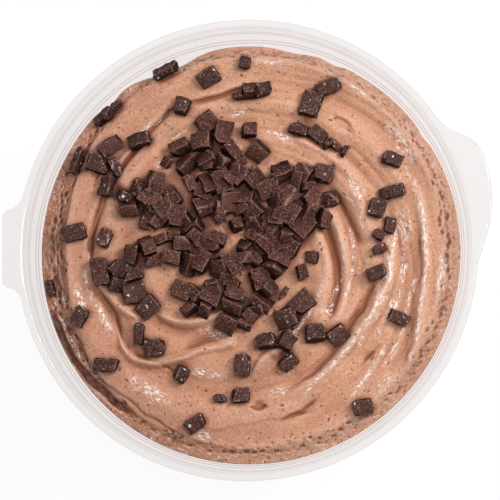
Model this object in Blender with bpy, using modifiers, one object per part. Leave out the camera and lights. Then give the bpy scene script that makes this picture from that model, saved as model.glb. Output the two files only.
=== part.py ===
"""Chocolate mousse in a clear plastic cup, topped with a heap of dark chocolate chunks.

The cup is one turned shell with a flat flange and two tabs. The mousse is one solid that fills the cup
up to a piped, swirled surface, and the chocolate chunks are fused to it. Lengths below are in millimetres
and the finished objects are in metres: +Z is up, and the origin is where the cup's axis meets the ground.
"""

import math
from itertools import product

import bmesh
import bpy
import numpy as np
from mathutils import Matrix, Vector

MM = 0.001

# The cup: the inner face of its wall as (radius, height) from the mouth down, with two stacking ledges
CUP_HEIGHT = 52.0
SHELL = 0.6
CUP_SEGMENTS = 64
INNER_WALL = (
    (46.1, 52.0),
    (45.6, 48.1),
    (45.25, 47.7),
    (44.75, 43.0),
    (44.15, 42.5),
    (33.9, 4.6),
    (33.0, 2.4),
)
# Its inner floor goes on from there: a channel over the foot ring, then the raised middle
INNER_FLOOR = (
    (31.4, 0.6),
    (27.9, 0.6),
    (26.2, 1.8),
    (0.0, 1.8),
)
FLANGE_R = 47.5
FLANGE_THICK = 0.7

# The two tabs are plates let into the flange, a little thinner than it is
TAB_INSET = 0.05
TAB_ROOT_R = 46.9
LEFT_TAB_REACH = 50.4
LEFT_TAB_MIDDLE = 0.4
LEFT_TAB_HALF = 8.1
LEFT_TAB_CORNER = 1.6
LEFT_TAB_FILLET = 3.4
# How far the right tab stands out of the flange, as (direction in degrees, distance)
RIGHT_TAB = (
    (-4.0, 0.0),
    (0.5, 1.1),
    (6.0, 2.75),
    (12.0, 4.05),
    (18.0, 4.7),
    (22.0, 4.8),
    (25.0, 4.1),
    (28.0, 2.3),
    (30.5, 0.7),
    (33.5, 0.0),
)

# The mousse: where it meets the wall, the gap to the wall, and the swirl's own centre
CLEARANCE = 0.3
EDGE_R = 43.7
EDGE_HEIGHT = 40.9
EDGE_WAVE = 0.25
CROWN_HEIGHT = 42.5
DOME_HEIGHT = 1.3
SWIRL_CENTRE = (-6.8, 6.1)
TOP_RINGS = 26
TOP_SEGMENTS = 66

# The swirl's lines drift inwards as they turn: millimetres a turn, and the extra drift on one side
DRIFT = 18.6
DRIFT_SWAY = 2.9
DRIFT_TURN = 10.0
RIBBON_HEIGHT = 0.45
STRIPES = 10
STRIPE_HEIGHT = 0.2

# The low, broken band along the wall
BAND_START = 40.6
BAND_WIDEST = 3.4
BAND_TURN = 180.0
BAND_SPREAD = 38.0
BAND_DROP = 0.9

# Where the mousse falls short of the wall: direction, half width in degrees, depth
EDGE_DIPS = (
    (113.0, 8.5, 4.2),
    (132.5, 3.5, 1.8),
    (78.0, 5.0, 1.3),
    (66.0, 2.5, 1.2),
    (34.0, 2.5, 1.2),
)

# The main folds of the swirl. Each is a crest (height above zero) or a groove (below), with its width on
# the inner and the outer side, and the route of its line as (direction in degrees, ring radius).
FOLDS = (
    (-2.1, 1.1, 1.2, ((318, 25.2), (335, 23.7), (360, 20.2), (379, 18.6))),
    (0.7, 0.8, 1.0, ((316, 27.2), (330, 25.2), (345, 23.9), (370, 21.5))),
    (-1.2, 1.4, 1.1, ((355, 26.6), (367, 24.4), (388, 22.6))),
    (0.7, 1.1, 1.2, ((374, 26.9), (388, 27.8), (410, 25.4), (422, 24.8))),
    (-1.0, 1.0, 0.8, ((83, 34.3), (92, 32.4), (100, 31.4), (111, 31.6))),
    (-1.0, 0.9, 0.8, ((114, 33.0), (122, 31.2), (132, 30.3), (140, 31.0))),
    (1.3, 2.8, 2.4, ((126, 24.4), (143, 24.8), (159, 25.4))),
    (-1.4, 0.9, 0.8, ((134, 29.2), (146, 29.3), (160, 30.2), (186, 31.6))),
    (1.0, 1.1, 0.8, ((184, 30.6), (198, 30.4), (206, 28.6), (222, 25.0))),
    (-1.2, 0.8, 1.4, ((194, 31.8), (206, 29.9), (213, 30.2), (220, 32.2))),
    (1.1, 1.0, 0.8, ((214, 31.0), (224, 32.5), (242, 27.7), (254, 23.6), (274, 21.4))),
    (-0.8, 1.2, 0.8, ((242, 25.8), (252, 22.9), (266, 21.2))),
    (1.0, 1.0, 0.9, ((222, 22.0), (240, 20.5), (258, 17.4), (272, 15.0))),
    (0.8, 0.9, 1.4, ((275, 28.7), (280, 26.2), (286, 24.9), (297, 24.4))),
    (0.7, 0.9, 1.0, ((286, 33.0), (300, 31.6), (320, 30.9), (342, 31.6), (362, 31.8))),
    (-0.9, 1.0, 0.8, ((294, 31.4), (306, 30.6), (318, 29.3), (346, 29.6))),
    (-0.9, 0.8, 0.8, ((280, 37.5), (290, 37.1), (299, 35.8))),
    (0.8, 0.9, 1.3, ((320, 41.6), (332, 39.8), (342, 38.3), (360, 37.6), (384, 37.9))),
)
FOLD_TAPER = 7.0

# Chocolate chunks: small cut blocks, some broken, some standing on an edge
CHUNK_LONG = (3.8, 4.9)
CHUNK_WIDE = (3.2, 4.2)
CHUNK_THICK = (2.2, 2.8)
CHUNK_SINK = 0.6
CHUNK_GROWTH = 0.1
CHUNK_SEED = 138
BROKEN_SHARE = 0.3
BROKEN_SIZE = (0.5, 0.8)
ON_EDGE_SHARE = 0.28
TIP = 24.0
HEAP_TOP = 46.9
# The heap's middle, how far it reaches every 15 degrees round it, and its layers as (inset, spacing)
HEAP_CENTRE = (-3.0, 6.0)
HEAP_REACH = (
    19.4, 23.0, 23.5, 16.5, 13.8, 20.8, 21.0, 23.7, 20.0, 21.4, 20.8, 24.2,
    21.5, 15.6, 18.0, 18.0, 23.6, 22.2, 23.0, 22.6, 17.2, 17.0, 20.0, 19.5,
)
HEAP_LAYERS = ((1.6, 4.05), (4.2, 4.4), (9.0, 5.6))
HEAP_TRIES = 1500
# Chunks outside the heap, each as x, y, turn in degrees, length and width
LOOSE_CHUNKS = (
    (-8.4, 37.0, 30, 4.3, 3.6),
    (-17.1, 37.7, 24, 6.2, 1.9),
    (-0.8, 39.7, 80, 2.7, 2.3),
    (-13.8, 30.4, 75, 3.4, 3.2),
    (-8.9, 27.4, 35, 4.2, 4.1),
    (-2.3, 32.3, 15, 2.2, 1.7),
    (0.1, 33.2, 10, 3.6, 2.5),
    (2.5, 33.8, 20, 3.6, 2.7),
    (-27.3, 30.9, 40, 2.5, 1.7),
    (-28.8, 29.4, 60, 2.9, 1.7),
    (-30.9, 28.9, 45, 3.8, 1.9),
    (-35.3, 19.4, 72, 6.4, 1.8),
    (-29.1, 22.7, 30, 5.0, 3.3),
    (-22.4, 23.3, 15, 5.1, 3.2),
    (-31.7, 18.8, -20, 4.6, 3.7),
    (-28.0, 18.1, -60, 4.2, 2.4),
    (-36.7, 4.3, 15, 5.4, 3.5),
    (-30.0, 3.2, 70, 4.0, 2.9),
    (-28.8, 13.8, 80, 4.2, 3.0),
    (-25.9, 12.0, -25, 5.0, 2.2),
    (-24.9, 9.9, 10, 4.0, 2.8),
    (16.8, 34.9, 20, 5.0, 2.9),
    (13.0, 30.9, 72, 5.8, 4.0),
    (10.3, 25.4, -20, 4.0, 2.6),
    (14.1, 24.3, -40, 4.0, 3.1),
    (18.0, 22.6, -42, 3.6, 1.3),
    (16.2, 21.7, 30, 2.5, 1.1),
    (19.5, 20.5, 65, 2.2, 1.0),
    (29.6, 19.1, -20, 4.4, 2.9),
    (30.0, 12.5, 15, 5.3, 2.5),
    (26.5, 9.0, 75, 4.1, 3.3),
    (29.1, 5.4, 80, 3.5, 2.3),
    (26.8, 3.4, -30, 2.6, 2.0),
    (27.1, 0.5, 20, 3.0, 1.9),
    (26.6, -4.5, 20, 4.2, 2.9),
    (31.0, -13.7, -25, 4.7, 2.5),
    (23.6, -31.9, 10, 4.0, 3.4),
    (18.4, -16.9, 35, 4.2, 3.8),
    (13.5, -16.9, 5, 4.2, 4.1),
    (11.3, -10.8, 40, 5.2, 4.0),
    (8.3, -13.5, 20, 4.5, 4.1),
    (7.2, -8.6, 60, 2.9, 0.9),
    (3.8, -18.9, 10, 4.2, 3.1),
    (7.4, -18.9, 60, 3.8, 3.3),
    (8.0, -22.5, 40, 3.8, 2.9),
    (-1.2, -23.4, 85, 4.8, 3.2),
    (-1.8, -29.8, 5, 4.2, 3.0),
    (-6.0, -30.4, 0, 2.9, 1.7),
    (-10.9, -35.2, 30, 4.2, 2.9),
    (-13.8, -24.8, 60, 3.4, 2.9),
    (-19.4, -19.5, 0, 4.5, 3.6),
    (-22.7, -16.8, 85, 4.6, 2.1),
    (-29.6, -23.2, -3, 5.2, 2.8),
    (-35.1, -13.1, 60, 4.1, 3.2),
    (-41.3, -6.8, 99, 4.0, 1.5),
    (-30.9, -3.8, 100, 5.6, 3.3),
    (-28.2, -3.2, 40, 3.6, 2.9),
    (-27.6, -6.1, -15, 3.8, 2.9),
    (-24.4, -4.9, 20, 4.6, 2.5),
    (-24.0, -8.4, 10, 4.8, 3.7),
    (-20.9, -11.1, 40, 4.5, 4.0),
    (-24.0, -0.3, 80, 4.0, 2.8),
    (-21.5, 1.4, 110, 4.0, 3.0),
    (-20.5, -1.4, 20, 2.6, 2.2),
    (-13.8, -7.8, -20, 4.5, 3.7),
)


def smooth_step(value):
    """0 below 0, 1 above 1, and a smooth rise between."""
    t = np.clip(value, 0.0, 1.0)
    return t * t * (3.0 - 2.0 * t)


def ring_coordinates(x, y):
    """Ring radius and direction in degrees, on circles whose centres slide from the swirl's to the cup's."""
    lean_x, lean_y = SWIRL_CENTRE[0] / EDGE_R, SWIRL_CENTRE[1] / EDGE_R
    from_x, from_y = x - SWIRL_CENTRE[0], y - SWIRL_CENTRE[1]
    along = from_x * lean_x + from_y * lean_y
    rest = 1.0 - lean_x**2 - lean_y**2
    ring = (along + np.sqrt(along**2 + rest * (from_x**2 + from_y**2))) / rest
    turn = np.degrees(np.arctan2(from_y + lean_y * ring, from_x + lean_x * ring)) % 360.0
    return ring, turn


def turn_between(turn, centre):
    """The angle from a direction, in degrees, from -180 to 180."""
    return (turn - centre + 180.0) % 360.0 - 180.0


def along_curve(value, points):
    """The height, at this value, of a smooth curve through some points of (value, height)."""
    values = np.array([v for v, _ in points], float)
    heights = np.array([h for _, h in points], float)
    slopes = np.gradient(heights, values)
    k = np.clip(np.searchsorted(values, value) - 1, 0, len(values) - 2)
    span = values[k + 1] - values[k]
    t = np.clip((value - values[k]) / span, 0.0, 1.0)
    start = (1 + 2 * t) * (1 - t) ** 2 * heights[k] + t * (1 - t) ** 2 * span * slopes[k]
    end = t * t * (3 - 2 * t) * heights[k + 1] + t * t * (t - 1) * span * slopes[k + 1]
    return start + end


def fold_height(ring, turn, fold):
    """What one fold adds to the surface."""
    height, width_in, width_out, route = fold
    first, last = route[0][0], route[-1][0]
    turned = first + (turn - first) % 360.0
    ends = smooth_step((turned - first) / FOLD_TAPER) * smooth_step((last - turned) / FOLD_TAPER)
    off = ring - along_curve(np.clip(turned, first, last), route)
    width = np.where(off < 0, width_in, width_out)
    return height * ends * np.exp(-((off / width) ** 2))


def drifted(ring, turn):
    """The ring radius that a line of the swirl had where it started."""
    return ring + DRIFT * turn / 360.0 + DRIFT_SWAY * np.sin(np.radians(turn - DRIFT_TURN))


def band_start(turn):
    """Where the broken band along the wall begins, as a ring radius."""
    wide = np.exp(-((turn_between(turn, BAND_TURN) / BAND_SPREAD) ** 2))
    return BAND_START - BAND_WIDEST * wide


def wall_radius(height):
    """The radius of the inner face of the cup's wall at a height."""
    return np.interp(height, [z for _, z in reversed(INNER_WALL)], [r for r, _ in reversed(INNER_WALL)])


def edge_height(turn):
    """The height at which the mousse meets the wall."""
    height = EDGE_HEIGHT + EDGE_WAVE * np.sin(np.radians(3 * turn + 40))
    for centre, half, depth in EDGE_DIPS:
        height = height - depth * np.exp(-((turn_between(turn, centre) / half) ** 2))
    return height


def swirl_height(x, y):
    """The height of the mousse's surface, without the chunks."""
    ring, turn = ring_coordinates(x, y)
    phase = 2 * math.pi * drifted(ring, turn) / DRIFT
    right = 0.5 + 0.5 * np.cos(np.radians(turn - 20.0))
    outer = smooth_step((ring - 14.0) / 8.0)
    height = CROWN_HEIGHT + DOME_HEIGHT * (1 - (ring / EDGE_R) ** 2)
    height = height + RIBBON_HEIGHT * outer * np.cos(2 * phase)
    height = height + STRIPE_HEIGHT * outer * right * np.cos(STRIPES * phase)
    for fold in FOLDS:
        height = height + fold_height(ring, turn, fold)
    height = height - BAND_DROP * smooth_step((ring - band_start(turn)) / 1.6)
    edge = smooth_step((ring - (EDGE_R - 3.2)) / 3.2)
    return height * (1 - edge) + edge_height(turn) * edge


def moved_aside(profile, distance):
    """An open profile of (radius, height) moved sideways by a distance, to the left of its direction."""
    points = [Vector(p) for p in profile]
    ways = [(b - a).normalized() for a, b in zip(points, points[1:])]
    sides = [Vector((-way.y, way.x)) for way in ways]
    moved = [points[0] + sides[0] * distance]
    for point, before, after in zip(points[1:-1], sides, sides[1:]):
        middle = (before + after).normalized()
        moved.append(point + middle * (distance / middle.dot(before)))
    moved.append(points[-1] + sides[-1] * distance)
    return [(p.x, p.y) for p in moved]


def linked(name, mesh, collection):
    """A new object with this mesh, in this collection."""
    obj = bpy.data.objects.new(name, mesh)
    collection.objects.link(obj)
    return obj


def settled(obj):
    """Applies an object's modifiers: its mesh becomes what they made."""
    graph = bpy.context.evaluated_depsgraph_get()
    mesh = bpy.data.meshes.new_from_object(obj.evaluated_get(graph))
    obj.modifiers.clear()
    obj.data = mesh
    return obj


def cleaned(mesh):
    """Welds a mesh's double points and points its faces outwards."""
    work = bmesh.new()
    work.from_mesh(mesh)
    bmesh.ops.remove_doubles(work, verts=work.verts, dist=0.000001)
    bmesh.ops.recalc_face_normals(work, faces=work.faces)
    work.to_mesh(mesh)
    work.free()


def turned(name, profile, segments, collection):
    """A turned solid: a profile of (radius, height), from the axis round to the axis or closed, swept round Z."""
    mesh = bpy.data.meshes.new(name)
    points = [(r * MM, 0.0, z * MM) for r, z in profile]
    mesh.from_pydata(points, [(i, i + 1) for i in range(len(points) - 1)], [])
    obj = linked(name, mesh, collection)
    screw = obj.modifiers.new("Turn", "SCREW")
    screw.steps = screw.render_steps = segments
    screw.use_merge_vertices = True
    screw.merge_threshold = 0.00001
    screw.use_normal_calculate = True
    settled(obj)
    cleaned(obj.data)
    return obj


def joined(obj, collection, solver="EXACT"):
    """Adds every object of a collection to this one, and removes them."""
    union = obj.modifiers.new("Join", "BOOLEAN")
    union.operation = "UNION"
    union.solver = solver
    union.operand_type = "COLLECTION"
    union.collection = collection
    settled(obj)
    for used in list(collection.objects):
        bpy.data.objects.remove(used)
    bpy.data.collections.remove(collection)
    return obj


def keep_largest(mesh):
    """Keeps the largest of a mesh's separate shells: loose scraps go, and sealed hollows are filled."""
    work = bmesh.new()
    work.from_mesh(mesh)
    left = set(work.verts)
    shells = []
    while left:
        shell, edge_of_shell = set(), [left.pop()]
        while edge_of_shell:
            vertex = edge_of_shell.pop()
            shell.add(vertex)
            for edge in vertex.link_edges:
                other = edge.other_vert(vertex)
                if other in left:
                    left.remove(other)
                    edge_of_shell.append(other)
        shells.append(shell)
    shells.sort(key=len)
    for shell in shells[:-1]:
        bmesh.ops.delete(work, geom=list(shell), context="VERTS")
    work.to_mesh(mesh)
    work.free()


def new_collection(name):
    """A new collection in the scene."""
    collection = bpy.data.collections.new(name)
    bpy.context.scene.collection.children.link(collection)
    return collection


def material(name, colour, roughness, alpha=1.0):
    """A plain material of this colour."""
    made = bpy.data.materials.new(name)
    made.use_nodes = True
    shader = made.node_tree.nodes["Principled BSDF"]
    shader.inputs["Base Color"].default_value = (*colour, 1.0)
    shader.inputs["Roughness"].default_value = roughness
    shader.inputs["Alpha"].default_value = alpha
    return made


def arc(centre_x, centre_y, radius, first, last, steps):
    """Points along an arc, from one angle to another, in degrees."""
    turns = np.radians(np.linspace(first, last, steps + 1))
    return [(centre_x + radius * math.cos(t), centre_y + radius * math.sin(t)) for t in turns]


def right_tab_outline():
    """The right tab: a lobe that swells slowly from the flange and sinks back fast."""
    first, last = RIGHT_TAB[0][0], RIGHT_TAB[-1][0]
    outline = arc(0, 0, TAB_ROOT_R, last, first, 10)
    for turn in np.linspace(first, last, 30):
        reach = FLANGE_R - TAB_INSET + along_curve(turn, RIGHT_TAB)
        outline.append((reach * math.cos(math.radians(turn)), reach * math.sin(math.radians(turn))))
    return outline


def left_tab_outline():
    """The left tab: a straight-sided tongue with rounded corners and a fillet at its root on each side."""
    fillet_y = LEFT_TAB_HALF + LEFT_TAB_FILLET
    fillet_x = -math.sqrt((FLANGE_R - TAB_INSET + LEFT_TAB_FILLET) ** 2 - fillet_y**2)
    root = math.degrees(math.atan2(fillet_y, -fillet_x))
    corner_x = -LEFT_TAB_REACH + LEFT_TAB_CORNER
    corner_y = LEFT_TAB_HALF - LEFT_TAB_CORNER
    upper = arc(fillet_x, fillet_y, LEFT_TAB_FILLET, -root, -90, 5)
    upper += arc(corner_x, corner_y, LEFT_TAB_CORNER, 90, 180, 4)
    lower = [(x, -y) for x, y in reversed(upper)]
    outline = upper + lower + arc(0, 0, TAB_ROOT_R, 180 + root, 180 - root, 8)
    return [(x, y + LEFT_TAB_MIDDLE) for x, y in outline]


def tab_plate(name, outline, collection):
    """A flat plate of this outline, let into the flange's thickness."""
    flat = bpy.data.curves.new(name, "CURVE")
    flat.dimensions = "2D"
    flat.fill_mode = "BOTH"
    flat.extrude = (FLANGE_THICK / 2 - TAB_INSET) * MM
    spline = flat.splines.new("POLY")
    spline.points.add(len(outline) - 1)
    for point, (x, y) in zip(spline.points, outline):
        point.co = (x * MM, y * MM, 0.0, 1.0)
    spline.use_cyclic_u = True
    curve = linked(name + "_outline", flat, collection)
    graph = bpy.context.evaluated_depsgraph_get()
    mesh = bpy.data.meshes.new_from_object(curve.evaluated_get(graph))
    mesh.transform(Matrix.Translation((0, 0, (CUP_HEIGHT - FLANGE_THICK / 2) * MM)))
    cleaned(mesh)
    bpy.data.objects.remove(curve)
    return linked(name, mesh, collection)


def make_cup(collection):
    """The cup: a turned shell with its flange, joined to the two tabs."""
    inner = list(INNER_WALL) + list(INNER_FLOOR)
    outer = moved_aside(inner, SHELL)
    flange = [
        (INNER_WALL[0][0], CUP_HEIGHT),
        (FLANGE_R, CUP_HEIGHT),
        (FLANGE_R, CUP_HEIGHT - FLANGE_THICK),
        (INNER_WALL[0][0] + SHELL - 0.05, CUP_HEIGHT - FLANGE_THICK),
    ]
    outer[-1] = (0.0, outer[-1][1])
    profile = list(reversed(inner[1:])) + flange + outer[1:]
    cup = turned("cup", profile, CUP_SEGMENTS, collection)
    tabs = new_collection("tabs")
    tab_plate("left_tab", left_tab_outline(), tabs)
    tab_plate("right_tab", right_tab_outline(), tabs)
    joined(cup, tabs)
    cup.data.materials.clear()
    cup.data.materials.append(material("clear_plastic", (0.93, 0.92, 0.92), 0.1, 0.3))
    return cup


def mousse_block(collection):
    """The mousse without its chunks: a turned block whose top is moved to the swirl."""
    sides = moved_aside(list(INNER_WALL[4:]) + list(INNER_FLOOR), -CLEARANCE)
    sides[-1] = (0.0, sides[-1][1])
    brim = [(EDGE_R * k / TOP_RINGS, EDGE_HEIGHT) for k in range(TOP_RINGS + 1)]
    block = turned("mousse", brim + sides[1:], TOP_SEGMENTS, collection)
    mesh = block.data
    places = np.empty(len(mesh.vertices) * 3)
    mesh.vertices.foreach_get("co", places)
    x, y, z = (places.reshape(-1, 3) / MM).T
    top = z > EDGE_HEIGHT - 0.01
    wall_top, wall_foot = sides[0], sides[1]
    slope = (wall_top[0] - wall_foot[0]) / (wall_top[1] - wall_foot[1])
    brim_z = edge_height(np.degrees(np.arctan2(y, x)) % 360.0)
    brim_r = wall_foot[0] + slope * (brim_z - wall_foot[1])
    scale = np.where(top, brim_r / EDGE_R, 1.0)
    x, y = x * scale, y * scale
    at_brim = np.hypot(x, y) > brim_r - 0.01
    z = np.where(top, np.where(at_brim, brim_z, swirl_height(x, y)), z)
    mesh.vertices.foreach_set("co", (np.column_stack([x, y, z]) * MM).ravel())
    mesh.update()
    return block


def heap_places(random):
    """Where the heap's chunks go, as (x, y), layer by layer, evenly spaced inside the heap's outline."""
    middle = Vector(HEAP_CENTRE)
    round_angles = np.linspace(0, 360, len(HEAP_REACH) + 1)
    reaches = list(HEAP_REACH) + [HEAP_REACH[0]]
    places = []
    layer = [Vector(chunk[:2]) for chunk in LOOSE_CHUNKS]
    for inset, spacing in HEAP_LAYERS:
        for _ in range(HEAP_TRIES):
            out = Vector(random.uniform(-max(HEAP_REACH), max(HEAP_REACH), 2))
            turn = math.degrees(math.atan2(out.y, out.x)) % 360.0
            if out.length > np.interp(turn, round_angles, reaches) - inset:
                continue
            place = middle + out
            if all((place - other).length > spacing for other in layer):
                layer.append(place)
                places.append(place)
        layer = []
    return places


def chunk_list():
    """All chunks as (x, y, turn, tip, length, width, thickness), the loose ones first."""
    random = np.random.default_rng(CHUNK_SEED)
    chunks = []
    for x, y, turn, long, wide in LOOSE_CHUNKS:
        chunks.append((x, y, turn, 0.0, long, wide, random.uniform(*CHUNK_THICK)))
    for x, y in heap_places(random):
        long, wide, thick = random.uniform(*CHUNK_LONG), random.uniform(*CHUNK_WIDE), random.uniform(*CHUNK_THICK)
        turn, tip = random.uniform(0, 180), random.uniform(-TIP, TIP)
        if random.random() < BROKEN_SHARE:
            long, wide = long * random.uniform(*BROKEN_SIZE), wide * random.uniform(*BROKEN_SIZE)
        if random.random() < ON_EDGE_SHARE:
            wide, thick = thick, wide * 0.85
        chunks.append((x, y, turn, tip, long, wide, thick))
    return chunks


class Ground:
    """The height of what a chunk falls on, kept on a square grid that grows with each chunk."""

    STEP = 0.5
    HALF = 46.0

    def __init__(self):
        line = np.arange(-self.HALF, self.HALF + self.STEP, self.STEP)
        self.x, self.y = np.meshgrid(line, line)
        self.z = swirl_height(self.x, self.y)
        self.bare = np.ones_like(self.z)

    def kept_inside(self, centre, axes, size):
        """The chunk's centre, moved towards the cup's axis if a corner would reach the wall."""
        halves = [length / 2 + CHUNK_GROWTH for length in size]
        over = 0.0
        for signs in product((-1, 1), repeat=3):
            corner = centre + axes @ Vector([sign * half for sign, half in zip(signs, halves)])
            over = max(over, corner.xy.length - (wall_radius(corner.z) - CLEARANCE))
        inward = -centre.xy.normalized() * over
        return centre + Vector((inward.x, inward.y, 0.0))

    def settle(self, chunk):
        """Lays a chunk on the ground and returns its place, as a matrix in millimetres."""
        x, y, turn, tip, long, wide, thick = chunk
        c, s = math.cos(math.radians(turn)), math.sin(math.radians(turn))
        u = (self.x - x) * c + (self.y - y) * s
        v = -(self.x - x) * s + (self.y - y) * c
        under = (abs(u) < long / 2) & (abs(v) < wide / 2)
        from_x, from_y, ground = self.x[under] - x, self.y[under] - y, self.z[under]
        rows = np.column_stack([from_x, from_y, np.ones_like(from_x)])
        slope_x, slope_y = np.linalg.lstsq(rows, ground, rcond=None)[0][:2]
        ease = min(1.0, 0.7 / max(math.hypot(slope_x, slope_y), 0.001))
        lean = Vector((0, 0, 1)).rotation_difference(Vector((-slope_x * ease, -slope_y * ease, 1.0)))
        axes = lean.to_matrix() @ Matrix.Rotation(math.radians(turn), 3, "Z") @ Matrix.Rotation(
            math.radians(tip), 3, "X"
        )
        up = axes.col[2]
        plane = -(up.x * from_x + up.y * from_y) / up.z
        level = np.quantile(ground - plane, 0.8) - CHUNK_SINK * float(self.bare[under].mean())
        centre = Vector((x, y, level)) + up * (thick / 2)
        half_height = abs(axes.col[0].z) * long / 2 + abs(axes.col[1].z) * wide / 2 + up.z * thick / 2
        centre.z = min(centre.z, HEAP_TOP - half_height)
        centre = self.kept_inside(centre, axes, chunk[4:])
        top = centre + up * (thick / 2)
        above = top.z - (up.x * (self.x[under] - top.x) + up.y * (self.y[under] - top.y)) / up.z
        self.z[under] = np.maximum(ground, above)
        self.bare[under] = 0.0
        return Matrix.Translation(centre) @ axes.to_4x4()


def chunk_block(name, chunk, place, collection):
    """One chunk as a plain block, a little grown so that it fuses with what it touches."""
    size = [length + CHUNK_GROWTH for length in chunk[4:]]
    work = bmesh.new()
    bmesh.ops.create_cube(work, size=1.0)
    scale = Matrix.Diagonal((*size, 1.0))
    bmesh.ops.transform(work, matrix=Matrix.Scale(MM, 4) @ place @ scale, verts=work.verts)
    mesh = bpy.data.meshes.new(name)
    work.to_mesh(mesh)
    work.free()
    return linked(name, mesh, collection)


def make_mousse(collection):
    """The mousse with all its chunks fused to it."""
    mousse = mousse_block(collection)
    pieces = new_collection("chunks")
    ground = Ground()
    for number, chunk in enumerate(chunk_list()):
        chunk_block(f"chunk_{number}", chunk, ground.settle(chunk), pieces)
    joined(mousse, pieces, "MANIFOLD")
    keep_largest(mousse.data)
    mousse.data.materials.clear()
    mousse.data.materials.append(material("mousse", (0.56, 0.29, 0.18), 0.5))
    return mousse


def main():
    for obj in list(bpy.data.objects):
        bpy.data.objects.remove(obj)
    dessert = new_collection("chocolate_mousse")
    make_cup(dessert)
    make_mousse(dessert)


main()
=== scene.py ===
"""Looks for a cup of chocolate mousse: the swirled mousse, its dark chocolate chunks and the clear cup.

Lengths are in millimetres until a mesh is made, and in metres in the studio and in the materials' ranges. The
swirl, the chunks' places and the cup's profile follow the same rules as the solids, with lower stripes and
finer relief on top.
"""

import math
from itertools import islice, product

import bmesh
import bpy
import numpy as np
from mathutils import Matrix, Vector

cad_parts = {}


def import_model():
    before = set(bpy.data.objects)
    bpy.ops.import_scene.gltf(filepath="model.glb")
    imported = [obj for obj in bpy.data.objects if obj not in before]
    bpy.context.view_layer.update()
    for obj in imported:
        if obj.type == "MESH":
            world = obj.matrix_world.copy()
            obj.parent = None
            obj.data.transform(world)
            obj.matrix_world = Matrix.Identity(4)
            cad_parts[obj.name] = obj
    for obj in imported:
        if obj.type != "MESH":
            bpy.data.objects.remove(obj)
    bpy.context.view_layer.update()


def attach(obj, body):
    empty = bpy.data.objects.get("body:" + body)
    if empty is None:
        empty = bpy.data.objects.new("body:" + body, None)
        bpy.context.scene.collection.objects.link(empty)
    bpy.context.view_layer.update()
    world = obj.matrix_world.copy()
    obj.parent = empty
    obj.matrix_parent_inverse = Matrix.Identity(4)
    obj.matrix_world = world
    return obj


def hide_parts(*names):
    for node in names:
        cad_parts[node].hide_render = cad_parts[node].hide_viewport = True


MM = 0.001
# Keeps a division away from zero
TINY = 1e-6

# The cup: the inner face of its wall as (radius, height) from the mouth down, then its inner floor
CUP_HEIGHT = 52.0
SHELL = 0.6
CUP_SEGMENTS = 300
CORNER_ROUND = 0.35
CORNER_STEPS = 4
CORNER_MOST = 0.45
INNER_WALL = (
    (46.1, 52.0),
    (45.6, 48.1),
    (45.25, 47.7),
    (44.75, 43.0),
    (44.15, 42.5),
    (33.9, 4.6),
    (33.0, 2.4),
)
INNER_FLOOR = (
    (31.4, 0.6),
    (27.9, 0.6),
    (26.2, 1.8),
    (0.0, 1.8),
)
FLANGE_R = 47.5
FLANGE_THICK = 0.7
FLANGE_STEPS = 8
FLANGE_ROUND = 0.3
EDGE_STEPS = 6
# How far the flange's flat faces stop short of its corners
LIP = 0.06
# How far below the flange the rows of the outer wall start
UNDER_FLANGE = 0.2
# How strongly the painted reflection line of the corners lies on the mouth and the flange's edge, as shares
# of a corner's tone
MOUTH_TONE = 0.3
EDGE_TONE = 0.35

# The two tabs. The flange's own points come this near to the left tab's, in degrees.
TAB_CLEAR = 0.4
TAB_ARC_STEPS = 8
TAB_FLAT_STEPS = 24
LEFT_TAB_REACH = 50.4
LEFT_TAB_MIDDLE = 0.4
LEFT_TAB_HALF = 8.1
LEFT_TAB_CORNER = 1.6
LEFT_TAB_FILLET = 3.4
LEFT_TAB_CREASE = 48.1
LEFT_TAB_DROOP = 0.3
RIGHT_TAB = (
    (-4.0, 0.0),
    (0.5, 1.1),
    (6.0, 2.75),
    (12.0, 4.0),
    (18.0, 4.7),
    (22.0, 4.8),
    (25.0, 4.1),
    (28.0, 2.3),
    (30.5, 0.7),
    (33.5, 0.0),
)

# The mousse touches the wall from this point of the wall's profile down, and reaches a little into it
MOUSSE_WALL = 4
INTO_WALL = 0.08
# The mousse's top meets the wall at this radius and height, which waves a few times a turn
EDGE_R = 43.7
EDGE_HEIGHT = 40.9
EDGE_WAVE = 0.25
EDGE_WAVES = 3
EDGE_WAVE_TURN = 40.0
# Near the wall the surface eases to that height, and its points stretch to the wall
BRIM_WIDTH = 3.2
BRIM_POWER = 10
CROWN_HEIGHT = 42.5
DOME_HEIGHT = 1.3
SWIRL_CENTRE = (-6.8, 6.1)
TOP_RINGS = 148
TOP_SEGMENTS = 600
RING_CROWD = 0.3
SIDE_ROWS = 5

# The swirl's lines drift inwards as they turn: millimetres a turn, and the extra drift on one side
DRIFT = 18.6
DRIFT_SWAY = 2.9
DRIFT_TURN = 10.0
RIBBON_HEIGHT = 0.45
STRIPES = 10
STRIPE_HEIGHT = 0.05
STRIPE_TURN = 20.0
# Ribbons and stripes start at this ring radius and are full this much further out
RIPPLE_START = 14.0
RIPPLE_RISE = 8.0

# The fine streaks are weakest opposite to this direction, and this much stronger in it
STREAK_TURN = 10.0
STREAK_LEAST = 0.3
STREAK_EXTRA = 0.9
# Height, lines in one drift, patches in one turn, seed
STREAKS = (
    (0.12, 9, 13, 1),
    (0.08, 19, 24, 2),
    (0.04, 40, 40, 3),
)
# Height, size and seed of the soft unevenness
LUMPS = (
    (0.30, 8.0, 4),
    (0.10, 3.0, 5),
    (0.04, 0.9, 6),
)
# A table of random values repeats after this many
LUMP_CELLS = 97
# How far lines of the swirl, the heights of laps and the band's start wander: reach, size and seed
RAGGED = ((0.3, 3.1, 23), (0.12, 1.2, 24))
LAP_LEVEL = 0.7
LAP_UNEVEN = ((0.5, 5.0, 25),)
BAND_RAGGED = ((0.9, 2.4, 21), (0.5, 0.9, 22))
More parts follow.
